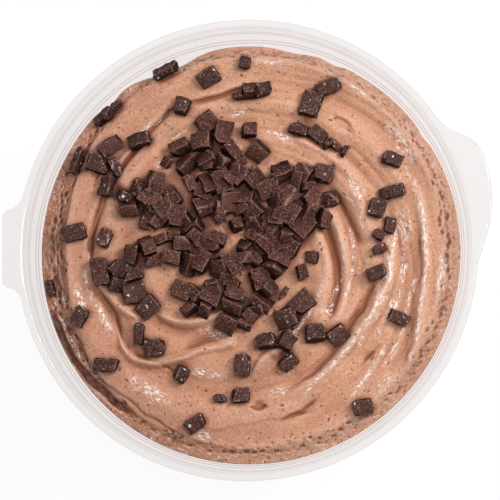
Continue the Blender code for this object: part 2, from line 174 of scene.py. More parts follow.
# Bubbles burst in the band along the wall: cell size, smallest and largest radius in cells, share, seed
BUBBLES = (
    (1.5, 0.18, 0.46, 0.75, 31),
    (0.8, 0.2, 0.45, 0.6, 32),
)
BUBBLE_STRETCH = 1.2
BUBBLE_DEPTH = 0.85
BUBBLE_STEEP = 1.6
BUBBLE_SHIFT = (0.2, 0.8)
BUBBLE_CELLS = 61
NO_BUBBLE = 0.01
DENT_STRETCH = 1.6
DENT_LIP = 2.4
# Small dents with a sharp outer lip: direction, ring radius, size, depth
DENTS = (
    (50.0, 32.6, 1.9, 0.6),
    (276.0, 33.3, 1.3, 0.9),
    (152.0, 36.6, 1.0, 0.4),
    (24.0, 27.4, 1.2, 0.35),
    (318.0, 34.0, 1.0, 0.4),
)
# Narrow slits: direction, half length in degrees, ring radius, half width, depth
SLITS = (
    (178.0, 4.5, 30.8, 0.3, 0.7),
    (318.5, 3.0, 34.9, 0.3, 0.7),
    (287.0, 4.0, 36.4, 0.28, 0.7),
    (208.0, 1.4, 39.6, 0.35, 0.9),
    (116.0, 2.5, 32.2, 0.3, 0.5),
    (154.0, 2.0, 33.4, 0.25, 0.5),
    (240.0, 3.0, 29.6, 0.3, 0.5),
    (327.0, 3.0, 28.8, 0.3, 0.5),
)
# Where the mousse shines as if wet, with a glossy coat and painted glints: direction, half width in degrees,
# ring radius, half width, strength
WET_PATCHES = (
    (6.0, 7.0, 34.2, 1.2, 0.9),
    (10.0, 16.0, 37.6, 0.9, 0.8),
    (35.0, 6.0, 39.3, 1.3, 1.0),
    (56.0, 7.0, 40.6, 0.6, 0.7),
    (83.0, 5.0, 39.8, 0.9, 0.8),
    (23.0, 6.0, 27.2, 0.6, 1.0),
    (66.0, 8.0, 23.6, 0.8, 0.7),
    (90.0, 4.0, 27.2, 1.2, 0.8),
    (104.0, 5.0, 25.2, 0.5, 0.6),
    (119.0, 7.0, 25.6, 0.6, 0.6),
    (127.0, 8.0, 31.6, 0.6, 0.8),
    (134.0, 3.0, 21.6, 0.7, 0.8),
    (192.0, 4.0, 22.6, 0.9, 0.9),
    (193.0, 6.0, 33.0, 0.6, 0.9),
    (207.0, 6.0, 32.4, 0.7, 0.9),
    (197.0, 4.0, 35.6, 1.0, 1.0),
    (195.0, 3.0, 39.4, 0.7, 0.9),
    (237.0, 7.0, 35.8, 1.4, 1.0),
    (256.0, 6.0, 28.2, 0.9, 1.0),
    (261.0, 9.0, 20.0, 1.1, 0.9),
    (257.0, 3.0, 39.2, 1.0, 0.9),
    (285.0, 4.0, 31.6, 0.8, 0.8),
    (322.0, 2.5, 24.6, 0.9, 0.9),
    (346.0, 14.0, 31.4, 1.0, 0.9),
    (345.0, 18.0, 34.0, 0.6, 0.7),
    (353.0, 8.0, 41.0, 0.8, 0.9),
    (316.0, 4.0, 40.0, 0.8, 0.7),
)
# Thin wet ridges, with a glossy coat and painted glints: strength and route
WET_LINES = (
    (0.9, ((299, 23.6), (310, 22.5), (322, 21.8), (337, 20.8))),
    (0.9, ((318, 25.6), (328, 24.0), (342, 23.5), (355, 22.6), (366, 21.4))),
    (0.7, ((326, 26.4), (340, 25.4), (355, 24.8), (370, 23.6))),
    (1.0, ((290, 33.9), (300, 32.3), (312, 31.2), (324, 30.8), (338, 31.2), (350, 32.6))),
    (0.8, ((314, 32.4), (328, 31.9), (344, 32.4))),
    (0.7, ((322, 33.8), (334, 33.4), (348, 33.7))),
    (0.8, ((302, 38.0), (314, 36.8), (330, 35.4))),
    (0.9, ((316, 38.1), (328, 37.1), (340, 36.2), (354, 36.4))),
    (1.0, ((321, 41.8), (331, 39.8), (341, 38.4), (352, 37.8), (368, 37.2))),
    (0.7, ((352, 31.2), (366, 32.6), (376, 32.4))),
    (0.7, ((362, 26.6), (374, 26.2), (384, 24.4))),
    (0.6, ((56, 24.6), (68, 24.0), (80, 23.2))),
    (1.0, ((190, 41.9), (202, 41.5), (212, 41.0), (224, 40.3))),
)
WET_LINE_WIDTH = 0.34
WET_RIDGE_WIDEN = 1.6
WET_LINE_HEIGHT = 0.14

# The low, broken band along the wall
BAND_START = 40.6
BAND_WIDEST = 3.4
BAND_TURN = 180.0
BAND_SPREAD = 38.0
BAND_DROP = 0.9
BAND_RISE = 1.6
POROUS_RISE = 0.9
# The band's painted shade in its trench is strongest in this direction
TRENCH_TURN = 200.0
TRENCH_SPREAD = 75.0
# A gap between the mousse and the wall: its depth, half its width and its line
NOTCH_DEPTH = 1.5
NOTCH_HALF = 0.75
NOTCH_ROUTE = (
    (194, 43.2),
    (205, 42.9),
    (214, 42.5),
    (224, 42.0),
    (236, 41.4),
)

# Where the mousse falls short of the wall: direction, half width in degrees, depth
EDGE_DIPS = (
    (113.0, 8.5, 4.2),
    (132.5, 3.5, 1.8),
    (78.0, 5.0, 1.3),
    (66.0, 2.5, 1.2),
    (34.0, 2.5, 1.2),
)

# The main folds of the swirl. Each is a crest (height above zero) or a groove (below), with its width on
# the inner and the outer side, and the route of its line as (direction in degrees, ring radius).
FOLDS = (
    (-2.1, 1.1, 1.2, ((318, 25.2), (335, 23.7), (360, 20.2), (379, 18.6))),
    (0.7, 0.8, 1.0, ((316, 27.2), (330, 25.2), (345, 23.9), (370, 21.5))),
    (-1.2, 1.4, 1.1, ((355, 26.6), (367, 24.4), (388, 22.6))),
    (0.7, 1.1, 1.2, ((374, 26.9), (388, 27.8), (410, 25.4), (422, 24.8))),
    (-1.0, 1.0, 0.8, ((83, 34.3), (92, 32.4), (100, 31.4), (111, 31.6))),
    (-1.0, 0.9, 0.8, ((114, 33.0), (122, 31.2), (132, 30.3), (140, 31.0))),
    (1.3, 2.8, 2.4, ((126, 24.4), (143, 24.8), (159, 25.4))),
    (-1.4, 0.9, 0.8, ((134, 29.2), (146, 29.3), (160, 30.2), (186, 31.6))),
    (1.0, 1.1, 0.8, ((184, 30.6), (198, 30.4), (206, 28.6), (222, 25.0))),
    (-1.2, 0.8, 1.4, ((194, 31.8), (206, 29.9), (213, 30.2), (220, 32.2))),
    (1.1, 1.0, 0.8, ((214, 31.0), (224, 32.5), (242, 27.7), (254, 23.6), (274, 21.4))),
    (-0.8, 1.2, 0.8, ((242, 25.8), (252, 22.9), (266, 21.2))),
    (1.0, 1.0, 0.9, ((222, 22.0), (240, 20.5), (258, 17.4), (272, 15.0))),
    (0.8, 0.9, 1.4, ((275, 28.7), (280, 26.2), (286, 24.9), (297, 24.4))),
    (0.7, 0.9, 1.0, ((286, 33.0), (300, 31.6), (320, 30.9), (342, 31.6), (362, 31.8))),
    (-0.9, 1.0, 0.8, ((294, 31.4), (306, 30.6), (318, 29.3), (346, 29.6))),
    (-0.8, 0.45, 0.7, ((279, 37.0), (288, 36.2), (299, 34.7))),
    (0.8, 0.9, 1.3, ((320, 41.6), (332, 39.8), (342, 38.3), (360, 37.6), (384, 37.9))),
)
FOLD_TAPER = 7.0
# Laps: a layer of mousse that ends in a sharp edge over the next one. Each has a height, the side it drops to
# (1 outwards, -1 inwards), the width of its gentle side and the route of its edge.
LAPS = (
    (0.50, -1, 2.4, ((134, 29.8), (146, 30.0), (156, 29.9), (165, 30.1), (174, 31.0), (190, 31.7))),
    (
        0.50, -1, 2.2,
        ((184, 31.5), (194, 31.5), (200, 31.0), (207, 30.0), (213, 30.6), (219, 32.0), (229, 32.6)),
    ),
    (0.45, -1, 1.6, ((222, 32.4), (233, 30.9), (242, 27.9), (254, 24.0), (270, 21.9))),
    (0.50, -1, 2.6, ((82, 35.2), (92, 33.3), (99, 32.3), (113, 32.4))),
    (0.45, -1, 2.6, ((111, 34.2), (121, 32.0), (131, 31.0), (142, 31.6))),
    (0.35, 1, 3.0, ((126, 27.4), (140, 28.2), (150, 28.4), (162, 28.2))),
    (0.35, -1, 2.0, ((290, 32.0), (304, 31.1), (316, 29.9), (330, 29.7), (348, 30.2))),
    (0.20, -1, 1.6, ((320, 41.6), (332, 39.5), (342, 38.1), (352, 37.5), (368, 37.0))),
    (
        0.35, 1, 2.6,
        ((200, 36.0), (208, 38.4), (215, 39.8), (222, 40.1), (230, 39.3), (238, 39.3), (248, 40.2),
         (266, 40.6)),
    ),
    (0.35, 1, 1.4, ((138, 39.6), (150, 38.6), (160, 37.8), (172, 37.2), (184, 37.1), (198, 37.8))),
    (0.50, 1, 0.9, ((174, 38.8), (186, 39.4), (196, 39.8), (210, 40.2))),
    (0.22, 1, 2.0, ((255, 38.8), (263, 37.4), (270, 36.3), (277, 36.0), (285, 36.3))),
    (0.30, -1, 1.4, ((273, 29.4), (280, 26.2), (286, 24.9), (299, 24.3))),
    (0.30, -1, 1.4, ((220, 22.2), (240, 20.5), (258, 17.4), (274, 14.9))),
)
LAP_EDGE = 0.4
LAP_CREASE = 0.8
LAP_FOOT = 0.8
# How far a row stands above the rows this many before and after it says where crests and creases are
CREST_ROWS = 6
CREASE_ROWS = 2

# Chocolate chunks: small cut blocks, some broken, some standing on an edge
CHUNK_LONG = (3.8, 4.9)
CHUNK_WIDE = (3.2, 4.2)
CHUNK_THICK = (2.2, 2.8)
CHUNK_SINK = 0.6
CHUNK_GROWTH = 0.1
# A chunk stays this far off the wall, leans no steeper than this and rests at this quantile of the ground
CLEARANCE = 0.3
STEEPEST = 0.7
REST_QUANTILE = 0.8
CHUNK_SEED = 138
BROKEN_SHARE = 0.3
BROKEN_SIZE = (0.5, 0.8)
ON_EDGE_SHARE = 0.28
ON_EDGE_THIN = 0.85
TIP = 24.0
HEAP_TOP = 46.9
HEAP_CENTRE = (-3.0, 6.0)
# How far the heap's outline is from its centre, in even turns from the right
HEAP_REACH = (
    19.4, 23.0, 23.5, 16.5, 13.8, 20.8, 21.0, 23.7, 20.0, 21.4, 20.8, 24.2,
    21.5, 15.6, 18.0, 18.0, 23.6, 22.2, 23.0, 22.6, 17.2, 17.0, 20.0, 19.5,
)
# The heap's layers from the bottom up: how far inside the outline they stay and how far apart chunks are
HEAP_LAYERS = ((1.6, 4.05), (4.2, 4.4), (9.0, 5.6))
HEAP_TRIES = 1500
# Chunks outside the heap, each as x, y, turn in degrees, length and width
LOOSE_CHUNKS = (
    (-8.4, 37.0, 30, 4.3, 3.6),
    (-17.1, 37.7, 24, 6.2, 1.9),
    (-0.8, 39.7, 80, 2.7, 2.3),
    (-13.8, 30.4, 75, 3.4, 3.2),
    (-8.9, 27.4, 35, 4.2, 4.1),
    (-2.3, 32.3, 15, 2.2, 1.7),
    (0.1, 33.2, 10, 3.6, 2.5),
    (2.5, 33.8, 20, 3.6, 2.7),
    (-27.3, 30.9, 40, 2.5, 1.7),
    (-28.8, 29.4, 60, 2.9, 1.7),
    (-30.9, 28.9, 45, 3.8, 1.9),
    (-35.3, 19.4, 72, 6.4, 1.8),
    (-29.1, 22.7, 30, 5.0, 3.3),
    (-22.4, 23.3, 15, 5.1, 3.2),
    (-31.7, 18.8, -20, 4.6, 3.7),
    (-28.0, 18.1, -60, 4.2, 2.4),
    (-36.7, 4.3, 15, 5.4, 3.5),
    (-30.0, 3.2, 70, 4.0, 2.9),
    (-28.8, 13.8, 80, 4.2, 3.0),
    (-25.9, 12.0, -25, 5.0, 2.2),
    (-24.9, 9.9, 10, 4.0, 2.8),
    (16.8, 34.9, 20, 5.0, 2.9),
    (13.0, 30.9, 72, 5.8, 4.0),
    (10.3, 25.4, -20, 4.0, 2.6),
    (14.1, 24.3, -40, 4.0, 3.1),
    (18.0, 22.6, -42, 3.6, 1.3),
    (16.2, 21.7, 30, 2.5, 1.1),
    (19.5, 20.5, 65, 2.2, 1.0),
    (29.6, 19.1, -20, 4.4, 2.9),
    (30.0, 12.5, 15, 5.3, 2.5),
    (26.5, 9.0, 75, 4.1, 3.3),
    (29.1, 5.4, 80, 3.5, 2.3),
    (26.8, 3.4, -30, 2.6, 2.0),
    (27.1, 0.5, 20, 3.0, 1.9),
    (26.6, -4.5, 20, 4.2, 2.9),
    (31.0, -13.7, -25, 4.7, 2.5),
    (23.6, -31.9, 10, 4.0, 3.4),
    (18.4, -16.9, 35, 4.2, 3.8),
    (13.5, -16.9, 5, 4.2, 4.1),
    (11.3, -10.8, 40, 5.2, 4.0),
    (8.3, -13.5, 20, 4.5, 4.1),
    (7.2, -8.6, 60, 2.9, 0.9),
    (3.8, -18.9, 10, 4.2, 3.1),
    (7.4, -18.9, 60, 3.8, 3.3),
    (8.0, -22.5, 40, 3.8, 2.9),
    (-1.2, -23.4, 85, 4.8, 3.2),
    (-1.8, -29.8, 5, 4.2, 3.0),
    (-6.0, -30.4, 0, 2.9, 1.7),
    (-10.9, -35.2, 30, 4.2, 2.9),
    (-13.8, -24.8, 60, 3.4, 2.9),
    (-19.4, -19.5, 0, 4.5, 3.6),
    (-22.7, -16.8, 85, 4.6, 2.1),
    (-29.6, -23.2, -3, 5.2, 2.8),
    (-35.1, -13.1, 60, 4.1, 3.2),
    (-41.3, -6.8, 99, 4.0, 1.5),
    (-30.9, -3.8, 100, 5.6, 3.3),
    (-28.2, -3.2, 40, 3.6, 2.9),
    (-27.6, -6.1, -15, 3.8, 2.9),
    (-24.4, -4.9, 20, 4.6, 2.5),
    (-24.0, -8.4, 10, 4.8, 3.7),
    (-20.9, -11.1, 40, 4.5, 4.0),
    (-24.0, -0.3, 80, 4.0, 2.8),
    (-21.5, 1.4, 110, 4.0, 3.0),
    (-20.5, -1.4, 20, 2.6, 2.2),
    (-13.8, -7.8, -20, 4.5, 3.7),
)
CHUNK_CUTS = 8
CHUNK_CROWD = 0.35
DRY_ROUND = 0.14
WET_ROUND = 0.42
MOST_ROUND = 0.6
# Chunks are wet from this far out from the heap's centre, fully so this much further out
WET_FROM = 17.0
WET_RISE = 9.0
WET_LEAST = 0.5
# From here on, a point of the uncut block counts as near its edge
EDGE_FROM = 0.85
EDGE_RISE = 0.15
CORNER_SHIFT = 0.16
BREAKS = (0, 1, 1, 2, 2, 3)
BREAK_DEPTH = (0.5, 0.88)
FLAT_BREAK = 0.93
BREAK_EDGE = 0.3
BREAK_PUSH = 0.95
CHUNK_ROUGH = 0.1
# The waves of a chunk's rough skin: scale and strength
WAVES = ((1.1, 0.9), (2.6, 0.8), (4.6, 0.6))
SHAPE_SEED = 7
CHUNK_SHRINK = 0.94
# Crumbs round the heap: how many, how far from its centre and from the wall, how high they sit and lean
CRUMBS = 26
CRUMB_SIZE = (0.3, 0.8)
CRUMB_FAR = (6.0, 27.0)
CRUMB_CLEAR = 4.0
CRUMB_LIFT = 0.2
CRUMB_LEAN = 1.0
CRUMB_CUTS = 2
CRUMB_WET = 0.5
# Small broken pieces in the gaps of the heap
FILLERS = 14
FILLER_CUTS = 4
FILLER_WET = 0.2
FILLER_LONG = (2.2, 3.6)
FILLER_WIDE = (1.5, 2.8)
FILLER_THICK = (1.2, 2.2)
FILLER_INSET = 1.2
# The mousse is painted dark as shade where chunks stand high round it: how much of their height counts, over
# how many steps it is spread, and how much makes the painted shade full
RAISED_MOST = 2.5
CLOSE_STEPS = 2
CLOSE_FULL = 1.8
# In the heap the painted shade falls in patches as well
CROWD_STEPS = 6
CROWD_FROM = 0.6
CROWD_RISE = 0.7
HEAP_SHADE = 0.75
PATCH_LEVEL = 0.35
PATCHES = ((1.3, 3.2, 41),)

# The mousse's colours. Some are painted light and shade: light on crests, ridges and the band by the wall,
# shade on the left side, in hollows, creases, pits, the trench and round chunks, and glints where wet.
MOUSSE_TONES = {
    "body": (0.645, 0.320, 0.192),
    "pale body": (0.725, 0.384, 0.240),
    "shaded side": (0.47, 0.195, 0.115),
    "lit rim": (0.80, 0.47, 0.33),
    "hollow": (0.45, 0.176, 0.096),
    "crest": (0.80, 0.50, 0.38),
    "dark grain": (0.46, 0.182, 0.098),
    "pale grain": (0.88, 0.60, 0.46),
    "mottle": (0.44, 0.20, 0.12),
    "trench": (0.32, 0.120, 0.064),
    "grit": (0.88, 0.63, 0.50),
    "painted chunk shadow": (0.235, 0.056, 0.025),
    "painted gap shadow": (0.065, 0.018, 0.010),
    "crease": (0.27, 0.084, 0.042),
    "painted ridge highlight": (0.84, 0.58, 0.46),
    "pit": (0.20, 0.066, 0.032),
    "painted wet glint": (0.95, 0.84, 0.78),
}
# The chocolate's colours. Some are painted light and shade: shade on steep sides and towards each chunk's
# bottom, and glints where wet.
CHOCOLATE_TONES = {
    "body": (0.036, 0.008, 0.006),
    "pale body": (0.068, 0.018, 0.013),
    "pale chunk": (0.125, 0.048, 0.036),
    "wet": (0.036, 0.009, 0.006),
    "dust": (0.21, 0.094, 0.070),
    "speck": (0.46, 0.31, 0.26),
    "side": (0.022, 0.006, 0.004),
    "glint": (0.90, 0.82, 0.78),
    "worn edge": (0.40, 0.235, 0.19),
    "foot": (0.018, 0.005, 0.003),
}
# The colours that the plastic gives to what is seen through it. The corner tint paints a brownish reflection
# line along the corners.
CLEAR_TINT = (0.900, 0.879, 0.874, 1)
GRAZING_TINT = (0.94, 0.932, 0.935, 1)
CORNER_TINT = (0.66, 0.54, 0.50, 1)
OUTER_TINT = (0.99, 0.988, 0.987, 1)
# The swirl's grain is drawn round a centre this share of the way to the swirl's, at this radius
GRAIN_SHIFT = 0.2
GRAIN_RADIUS = 30.0

# The camera looks down a little off the cup's axis. Its frame's middle is beside the flange's centre.
CAMERA_DISTANCE = 600.0
CAMERA_LEAN = 6.9
CAMERA_WAY = (0.608, -0.794)
FRAME_MIDDLE = (0.86, -0.29)
FLANGE_PIXELS = 231.9
IMAGE_PIXELS = 500.0
SENSOR = 36.0

# Square soft lights: name, place and size in metres, power
LIGHTS = (
    ("left_light", (-1.2, 0.6, 1.0), 0.8, 3.7),
    ("right_light", (0.40, 0.22, 0.47), 0.22, 2.8),
    ("top_light", (0.43, 0.26, 1.85), 0.5, 9.6),
)
LIGHTS_AIM = (0, 0, 0.045)
WORLD_STRENGTH = 0.27
# Half the length of the floor's side, in metres
FLOOR_HALF = 3.0


def smooth_step(value):
    """0 below 0, 1 above 1, and a smooth rise between."""
    t = np.clip(value, 0.0, 1.0)
    return t * t * (3.0 - 2.0 * t)


def bell(value):
    """1 at zero, and a smooth fall to 0 on both sides."""
    return np.exp(-(value**2))


def cos_sin(degrees):
    """The cosine and the sine of an angle in degrees."""
    return np.cos(np.radians(degrees)), np.sin(np.radians(degrees))


def ring_coordinates(x, y):
    """Ring radius and direction in degrees, on circles whose centres slide from the swirl's to the cup's."""
    lean_x, lean_y = SWIRL_CENTRE[0] / EDGE_R, SWIRL_CENTRE[1] / EDGE_R
    from_x, from_y = x - SWIRL_CENTRE[0], y - SWIRL_CENTRE[1]
    along = from_x * lean_x + from_y * lean_y
    rest = 1.0 - lean_x**2 - lean_y**2
    ring = (along + np.sqrt(along**2 + rest * (from_x**2 + from_y**2))) / rest
    turn = np.degrees(np.arctan2(from_y + lean_y * ring, from_x + lean_x * ring)) % 360.0
    return ring, turn


def turn_between(turn, centre):
    """The angle from a direction, in degrees, from -180 to 180."""
    return (turn - centre + 180.0) % 360.0 - 180.0


def towards(turn, centre):
    """1 in a direction, 0 opposite to it, and a smooth change between."""
    return 0.5 + 0.5 * np.cos(np.radians(turn - centre))


def along_curve(value, points):
    """The height, at this value, of a smooth curve through some points of (value, height)."""
    values = np.array([v for v, _ in points], float)
    heights = np.array([h for _, h in points], float)
    slopes = np.gradient(heights, values)
    k = np.clip(np.searchsorted(values, value) - 1, 0, len(values) - 2)
    span = values[k + 1] - values[k]
    t = np.clip((value - values[k]) / span, 0.0, 1.0)
    start = (1 + 2 * t) * (1 - t) ** 2 * heights[k] + t * (1 - t) ** 2 * span * slopes[k]
    end = t * t * (3 - 2 * t) * heights[k + 1] + t * t * (t - 1) * span * slopes[k + 1]
    return start + end


def from_route(ring, turn, route):
    """How far outside a route a place is, and a strength that is 1 along the route and fades at its ends."""
    first, last = route[0][0], route[-1][0]
    turned = first + (turn - first) % 360.0
    ends = smooth_step((turned - first) / FOLD_TAPER) * smooth_step((last - turned) / FOLD_TAPER)
    return ring - along_curve(np.clip(turned, first, last), route), ends


def fold_height(ring, turn, fold):
    """What one fold adds to the surface."""
    height, width_in, width_out, route = fold
    off, ends = from_route(ring, turn, route)
    width = np.where(off < 0, width_in, width_out)
    return height * ends * bell(off / width)


def lap_height(ring, turn, lap):
    """What one lap adds: a gentle rise to its edge, then a drop to a narrow crease."""
    height, steep, width, route = lap
    off, ends = from_route(ring, turn, route)
    past = off * steep
    rise = bell(np.minimum(past, 0.0) / width)
    fall = smooth_step(past / LAP_EDGE)
    crease = LAP_CREASE * bell(np.maximum(past - LAP_EDGE, 0.0) / LAP_FOOT)
    return height * ends * (rise * (1 - fall) - crease * fall)


def drifted(ring, turn):
    """The ring radius that a line of the swirl had where it started."""
    return ring + DRIFT * turn / 360.0 + DRIFT_SWAY * np.sin(np.radians(turn - DRIFT_TURN))


def band_start(turn):
    """Where the broken band along the wall begins, as a ring radius."""
    return BAND_START - BAND_WIDEST * bell(turn_between(turn, BAND_TURN) / BAND_SPREAD)


def wall_radius(height):
    """The radius of the inner face of the cup's wall at a height."""
    radii, heights = zip(*reversed(INNER_WALL))
    return np.interp(height, heights, radii)


def edge_height(turn):
    """The height at which the mousse meets the wall."""
    height = EDGE_HEIGHT + EDGE_WAVE * np.sin(np.radians(EDGE_WAVES * turn + EDGE_WAVE_TURN))
    for centre, half, depth in EDGE_DIPS:
        height = height - depth * bell(turn_between(turn, centre) / half)
    return height


def swirl_height(x, y, fine=False):
    """The height of the mousse's surface, without the chunks, with or without its fine relief."""
    ring, turn = ring_coordinates(x, y)
    phase = 2 * math.pi * drifted(ring, turn) / DRIFT
    outer = smooth_step((ring - RIPPLE_START) / RIPPLE_RISE)
    height = CROWN_HEIGHT + DOME_HEIGHT * (1 - (ring / EDGE_R) ** 2)
    height = height + RIBBON_HEIGHT * outer * np.cos(2 * phase)
    height = height + STRIPE_HEIGHT * outer * towards(turn, STRIPE_TURN) * np.cos(STRIPES * phase)
    for fold in FOLDS:
        height = height + fold_height(ring, turn, fold)
    height = height - BAND_DROP * smooth_step((ring - band_start(turn)) / BAND_RISE)
    if fine:
        height = height + fine_relief(x, y, ring, turn)
    edge = smooth_step((ring - (EDGE_R - BRIM_WIDTH)) / BRIM_WIDTH)
    return height * (1 - edge) + edge_height(turn) * edge


def table_value(table, u, v):
    """A smooth reading of a table of random values, which repeats in both directions."""
    rows, columns = table.shape
    i, j = np.floor(u).astype(int), np.floor(v).astype(int)
    s, t = smooth_step(u - i), smooth_step(v - j)
    low = table[i % rows, j % columns] * (1 - t) + table[i % rows, (j + 1) % columns] * t
    high = table[(i + 1) % rows, j % columns] * (1 - t) + table[(i + 1) % rows, (j + 1) % columns] * t
    return low * (1 - s) + high * s


def streaks(ring, turn, across, along, seed):
    """Random streaks that follow the swirl's lines, from -1 to 1."""
    table = np.random.default_rng(seed).uniform(-1, 1, (across, along))
    return table_value(table, drifted(ring, turn) / DRIFT * across, turn / 360.0 * along)


def lumps(x, y, size, seed):
    """Random soft lumps about this far apart, from -1 to 1."""
    table = np.random.default_rng(seed).uniform(-1, 1, (LUMP_CELLS, LUMP_CELLS))
    return table_value(table, x / size, y / size)


def with_lumps(value, x, y, layers):
    """A value with lumps added to it, in layers of (height, size, seed)."""
    for height, size, seed in layers:
        value = value + height * lumps(x, y, size, seed)
    return value


def fine_relief(x, y, ring, turn):
    """The laps, the spatula's streaks, the soft unevenness, the wet ridges, the dents, slits and bubbles."""
    total = 0.0
    strength = STREAK_LEAST + STREAK_EXTRA * towards(turn, STREAK_TURN)
    for height, across, along, seed in STREAKS:
        total = total + height * strength * streaks(ring, turn, across, along, seed)
    total = with_lumps(total, x, y, LUMPS)
    ragged = with_lumps(ring, x, y, RAGGED)
    uneven = with_lumps(LAP_LEVEL, x, y, LAP_UNEVEN)
    for lap in LAPS:
        total = total + uneven * lap_height(ragged, turn, lap)
    total = total + WET_LINE_HEIGHT * wet_lines(ragged, turn, WET_RIDGE_WIDEN)
    for centre, half_turn, middle, half_width, depth in SLITS:
        near = (turn_between(turn, centre) / half_turn) ** 2 + ((ragged - middle) / half_width) ** 2
        total = total - depth * np.exp(-near)
    for centre, middle, size, depth in DENTS:
        along = np.radians(turn_between(turn, centre)) * middle / DENT_STRETCH
        out = ring - middle
        bowl = 1.0 - np.hypot(along, out) / size
        total = total - depth * smooth_step(bowl * np.where(out > 0, DENT_LIP, 1.0))
    in_band = band_share(x, y, ring, turn)
    for layer in BUBBLES:
        depth = BUBBLE_DEPTH * in_band * layer[0] / BUBBLES[0][0]
        total = total - depth * bubbles(x, y, turn, *layer)
    return total


def band_share(x, y, ring, turn):
    """1 in the broken band along the wall, 0 inside it, with a ragged start."""
    start = with_lumps(band_start(turn), x, y, BAND_RAGGED)
    return smooth_step((ring - start) / POROUS_RISE)


def bubbles(x, y, turn, size, least, most, share, seed):
    """Random hollows, drawn out along the swirl: 1 at a hollow's middle and 0 outside them."""
    random = np.random.default_rng(seed)
    count = BUBBLE_CELLS
    shift = random.uniform(*BUBBLE_SHIFT, (count, count, 2))
    reach = random.uniform(least, most, (count, count)) * (random.random((count, count)) < share)
    column, row = np.floor(x / size).astype(int), np.floor(y / size).astype(int)
    cos, sin = cos_sin(turn)
    depth = np.zeros_like(x)
    for step_x, step_y in product((-1, 0, 1), repeat=2):
        i, j = (column + step_x) % count, (row + step_y) % count
        from_x = x / size - (column + step_x + shift[i, j, 0])
        from_y = y / size - (row + step_y + shift[i, j, 1])
        out, along = from_x * cos + from_y * sin, from_y * cos - from_x * sin
        far = np.hypot(out, along / BUBBLE_STRETCH)
        bowl = smooth_step(BUBBLE_STEEP * (1.0 - far / np.maximum(reach[i, j], NO_BUBBLE)))
        depth = np.maximum(depth, bowl)
    return depth


def wet_lines(ring, turn, widen=1.0):
    """1 along the thin wet ridges and 0 beside them."""
    share = np.zeros_like(ring)
    for strength, route in WET_LINES:
        off, ends = from_route(ring, turn, route)
        share = np.maximum(share, strength * ends * bell(off / (WET_LINE_WIDTH * widen)))
    return share


def wet_share(ring, turn):
    """How wet the mousse looks, from 0 to 1."""
    wet = wet_lines(ring, turn)
    for centre, half_turn, middle, half_width, strength in WET_PATCHES:
        near = np.exp(-((turn_between(turn, centre) / half_turn) ** 2) - ((ring - middle) / half_width) ** 2)
        wet = np.maximum(wet, strength * near)
    return wet


def moved_aside(profile, distance):
    """An open profile of (radius, height) moved sideways by a distance, to the left of its direction."""
    points = [Vector(p) for p in profile]
    ways = [(b - a).normalized() for a, b in zip(points, points[1:])]
    sides = [Vector((-way.y, way.x)) for way in ways]
    moved = [points[0] + sides[0] * distance]
    for point, before, after in zip(points[1:-1], sides, sides[1:]):
        middle = (before + after).normalized()
        moved.append(point + middle * (distance / middle.dot(before)))
    moved.append(points[-1] + sides[-1] * distance)
    return [(p.x, p.y) for p in moved]


def rounded(profile, reach):
    """A profile with each inner corner replaced by a short curve that starts this far before it.

    Each point is (radius, height, share), where the share is 1 in the middle of a corner and 0 away from it.
    """
    points = [Vector(p) for p in profile]
    smooth = [(*points[0], 0.0)]
    for before, corner, after in zip(points, points[1:], points[2:]):
        near = min(reach, (corner - before).length * CORNER_MOST, (after - corner).length * CORNER_MOST)
        start = corner + (before - corner).normalized() * near
        end = corner + (after - corner).normalized() * near
        for t in np.linspace(0.0, 1.0, CORNER_STEPS + 1):
            point = start * (1 - t) ** 2 + corner * (2 * t * (1 - t)) + end * t**2
            smooth.append((*point, float((4 * t * (1 - t)) ** 2)))
    smooth.append((*points[-1], 0.0))
    return smooth


def arc(centre_x, centre_y, radius, first, last):
    """Points along an arc, from one angle to another, in degrees."""
    turns = np.radians(np.linspace(first, last, TAB_ARC_STEPS + 1))
    return [(centre_x + radius * math.cos(t), centre_y + radius * math.sin(t)) for t in turns]


def grid_mesh(name, places, columns):
    """A smooth mesh round an axis, from its points in millimetres: a pole, rows and another pole."""
    last = len(places) - 1
    index = np.arange(1, last).reshape(-1, columns)
    following = np.roll(index, -1, axis=1)
    quads = np.stack([index[:-1], index[1:], following[1:], following[:-1]], axis=-1)
    faces = quads.reshape(-1, 4).tolist()
    faces += [(0, int(a), int(b)) for a, b in zip(index[0], following[0])]
    faces += [(last, int(b), int(a)) for a, b in zip(index[-1], following[-1])]
    mesh = bpy.data.meshes.new(name)
    mesh.from_pydata((places * MM).tolist(), [], faces)
    work = bmesh.new()
    work.from_mesh(mesh)
    bmesh.ops.recalc_face_normals(work, faces=work.faces)
    work.to_mesh(mesh)
    work.free()
    mesh.shade_smooth()
    return mesh


def set_values(mesh, name, values):
    """Stores one number for each of a mesh's points, for its material to read."""
    mesh.attributes.new(name, "FLOAT", "POINT").data.foreach_set("value", np.asarray(values, np.float32))


def new_object(name, mesh, material):
    """A new object in the scene."""
    obj = bpy.data.objects.new(name, mesh)
    bpy.context.scene.collection.objects.link(obj)
    mesh.materials.append(material)
    return obj


def notch_share(ring, turn):
    """1 along the middle of the gap where the mousse has come away from the wall, 0 beside it."""
    off, ends = from_route(ring, turn, NOTCH_ROUTE)
    return ends * np.exp(-((off / NOTCH_HALF) ** 4))


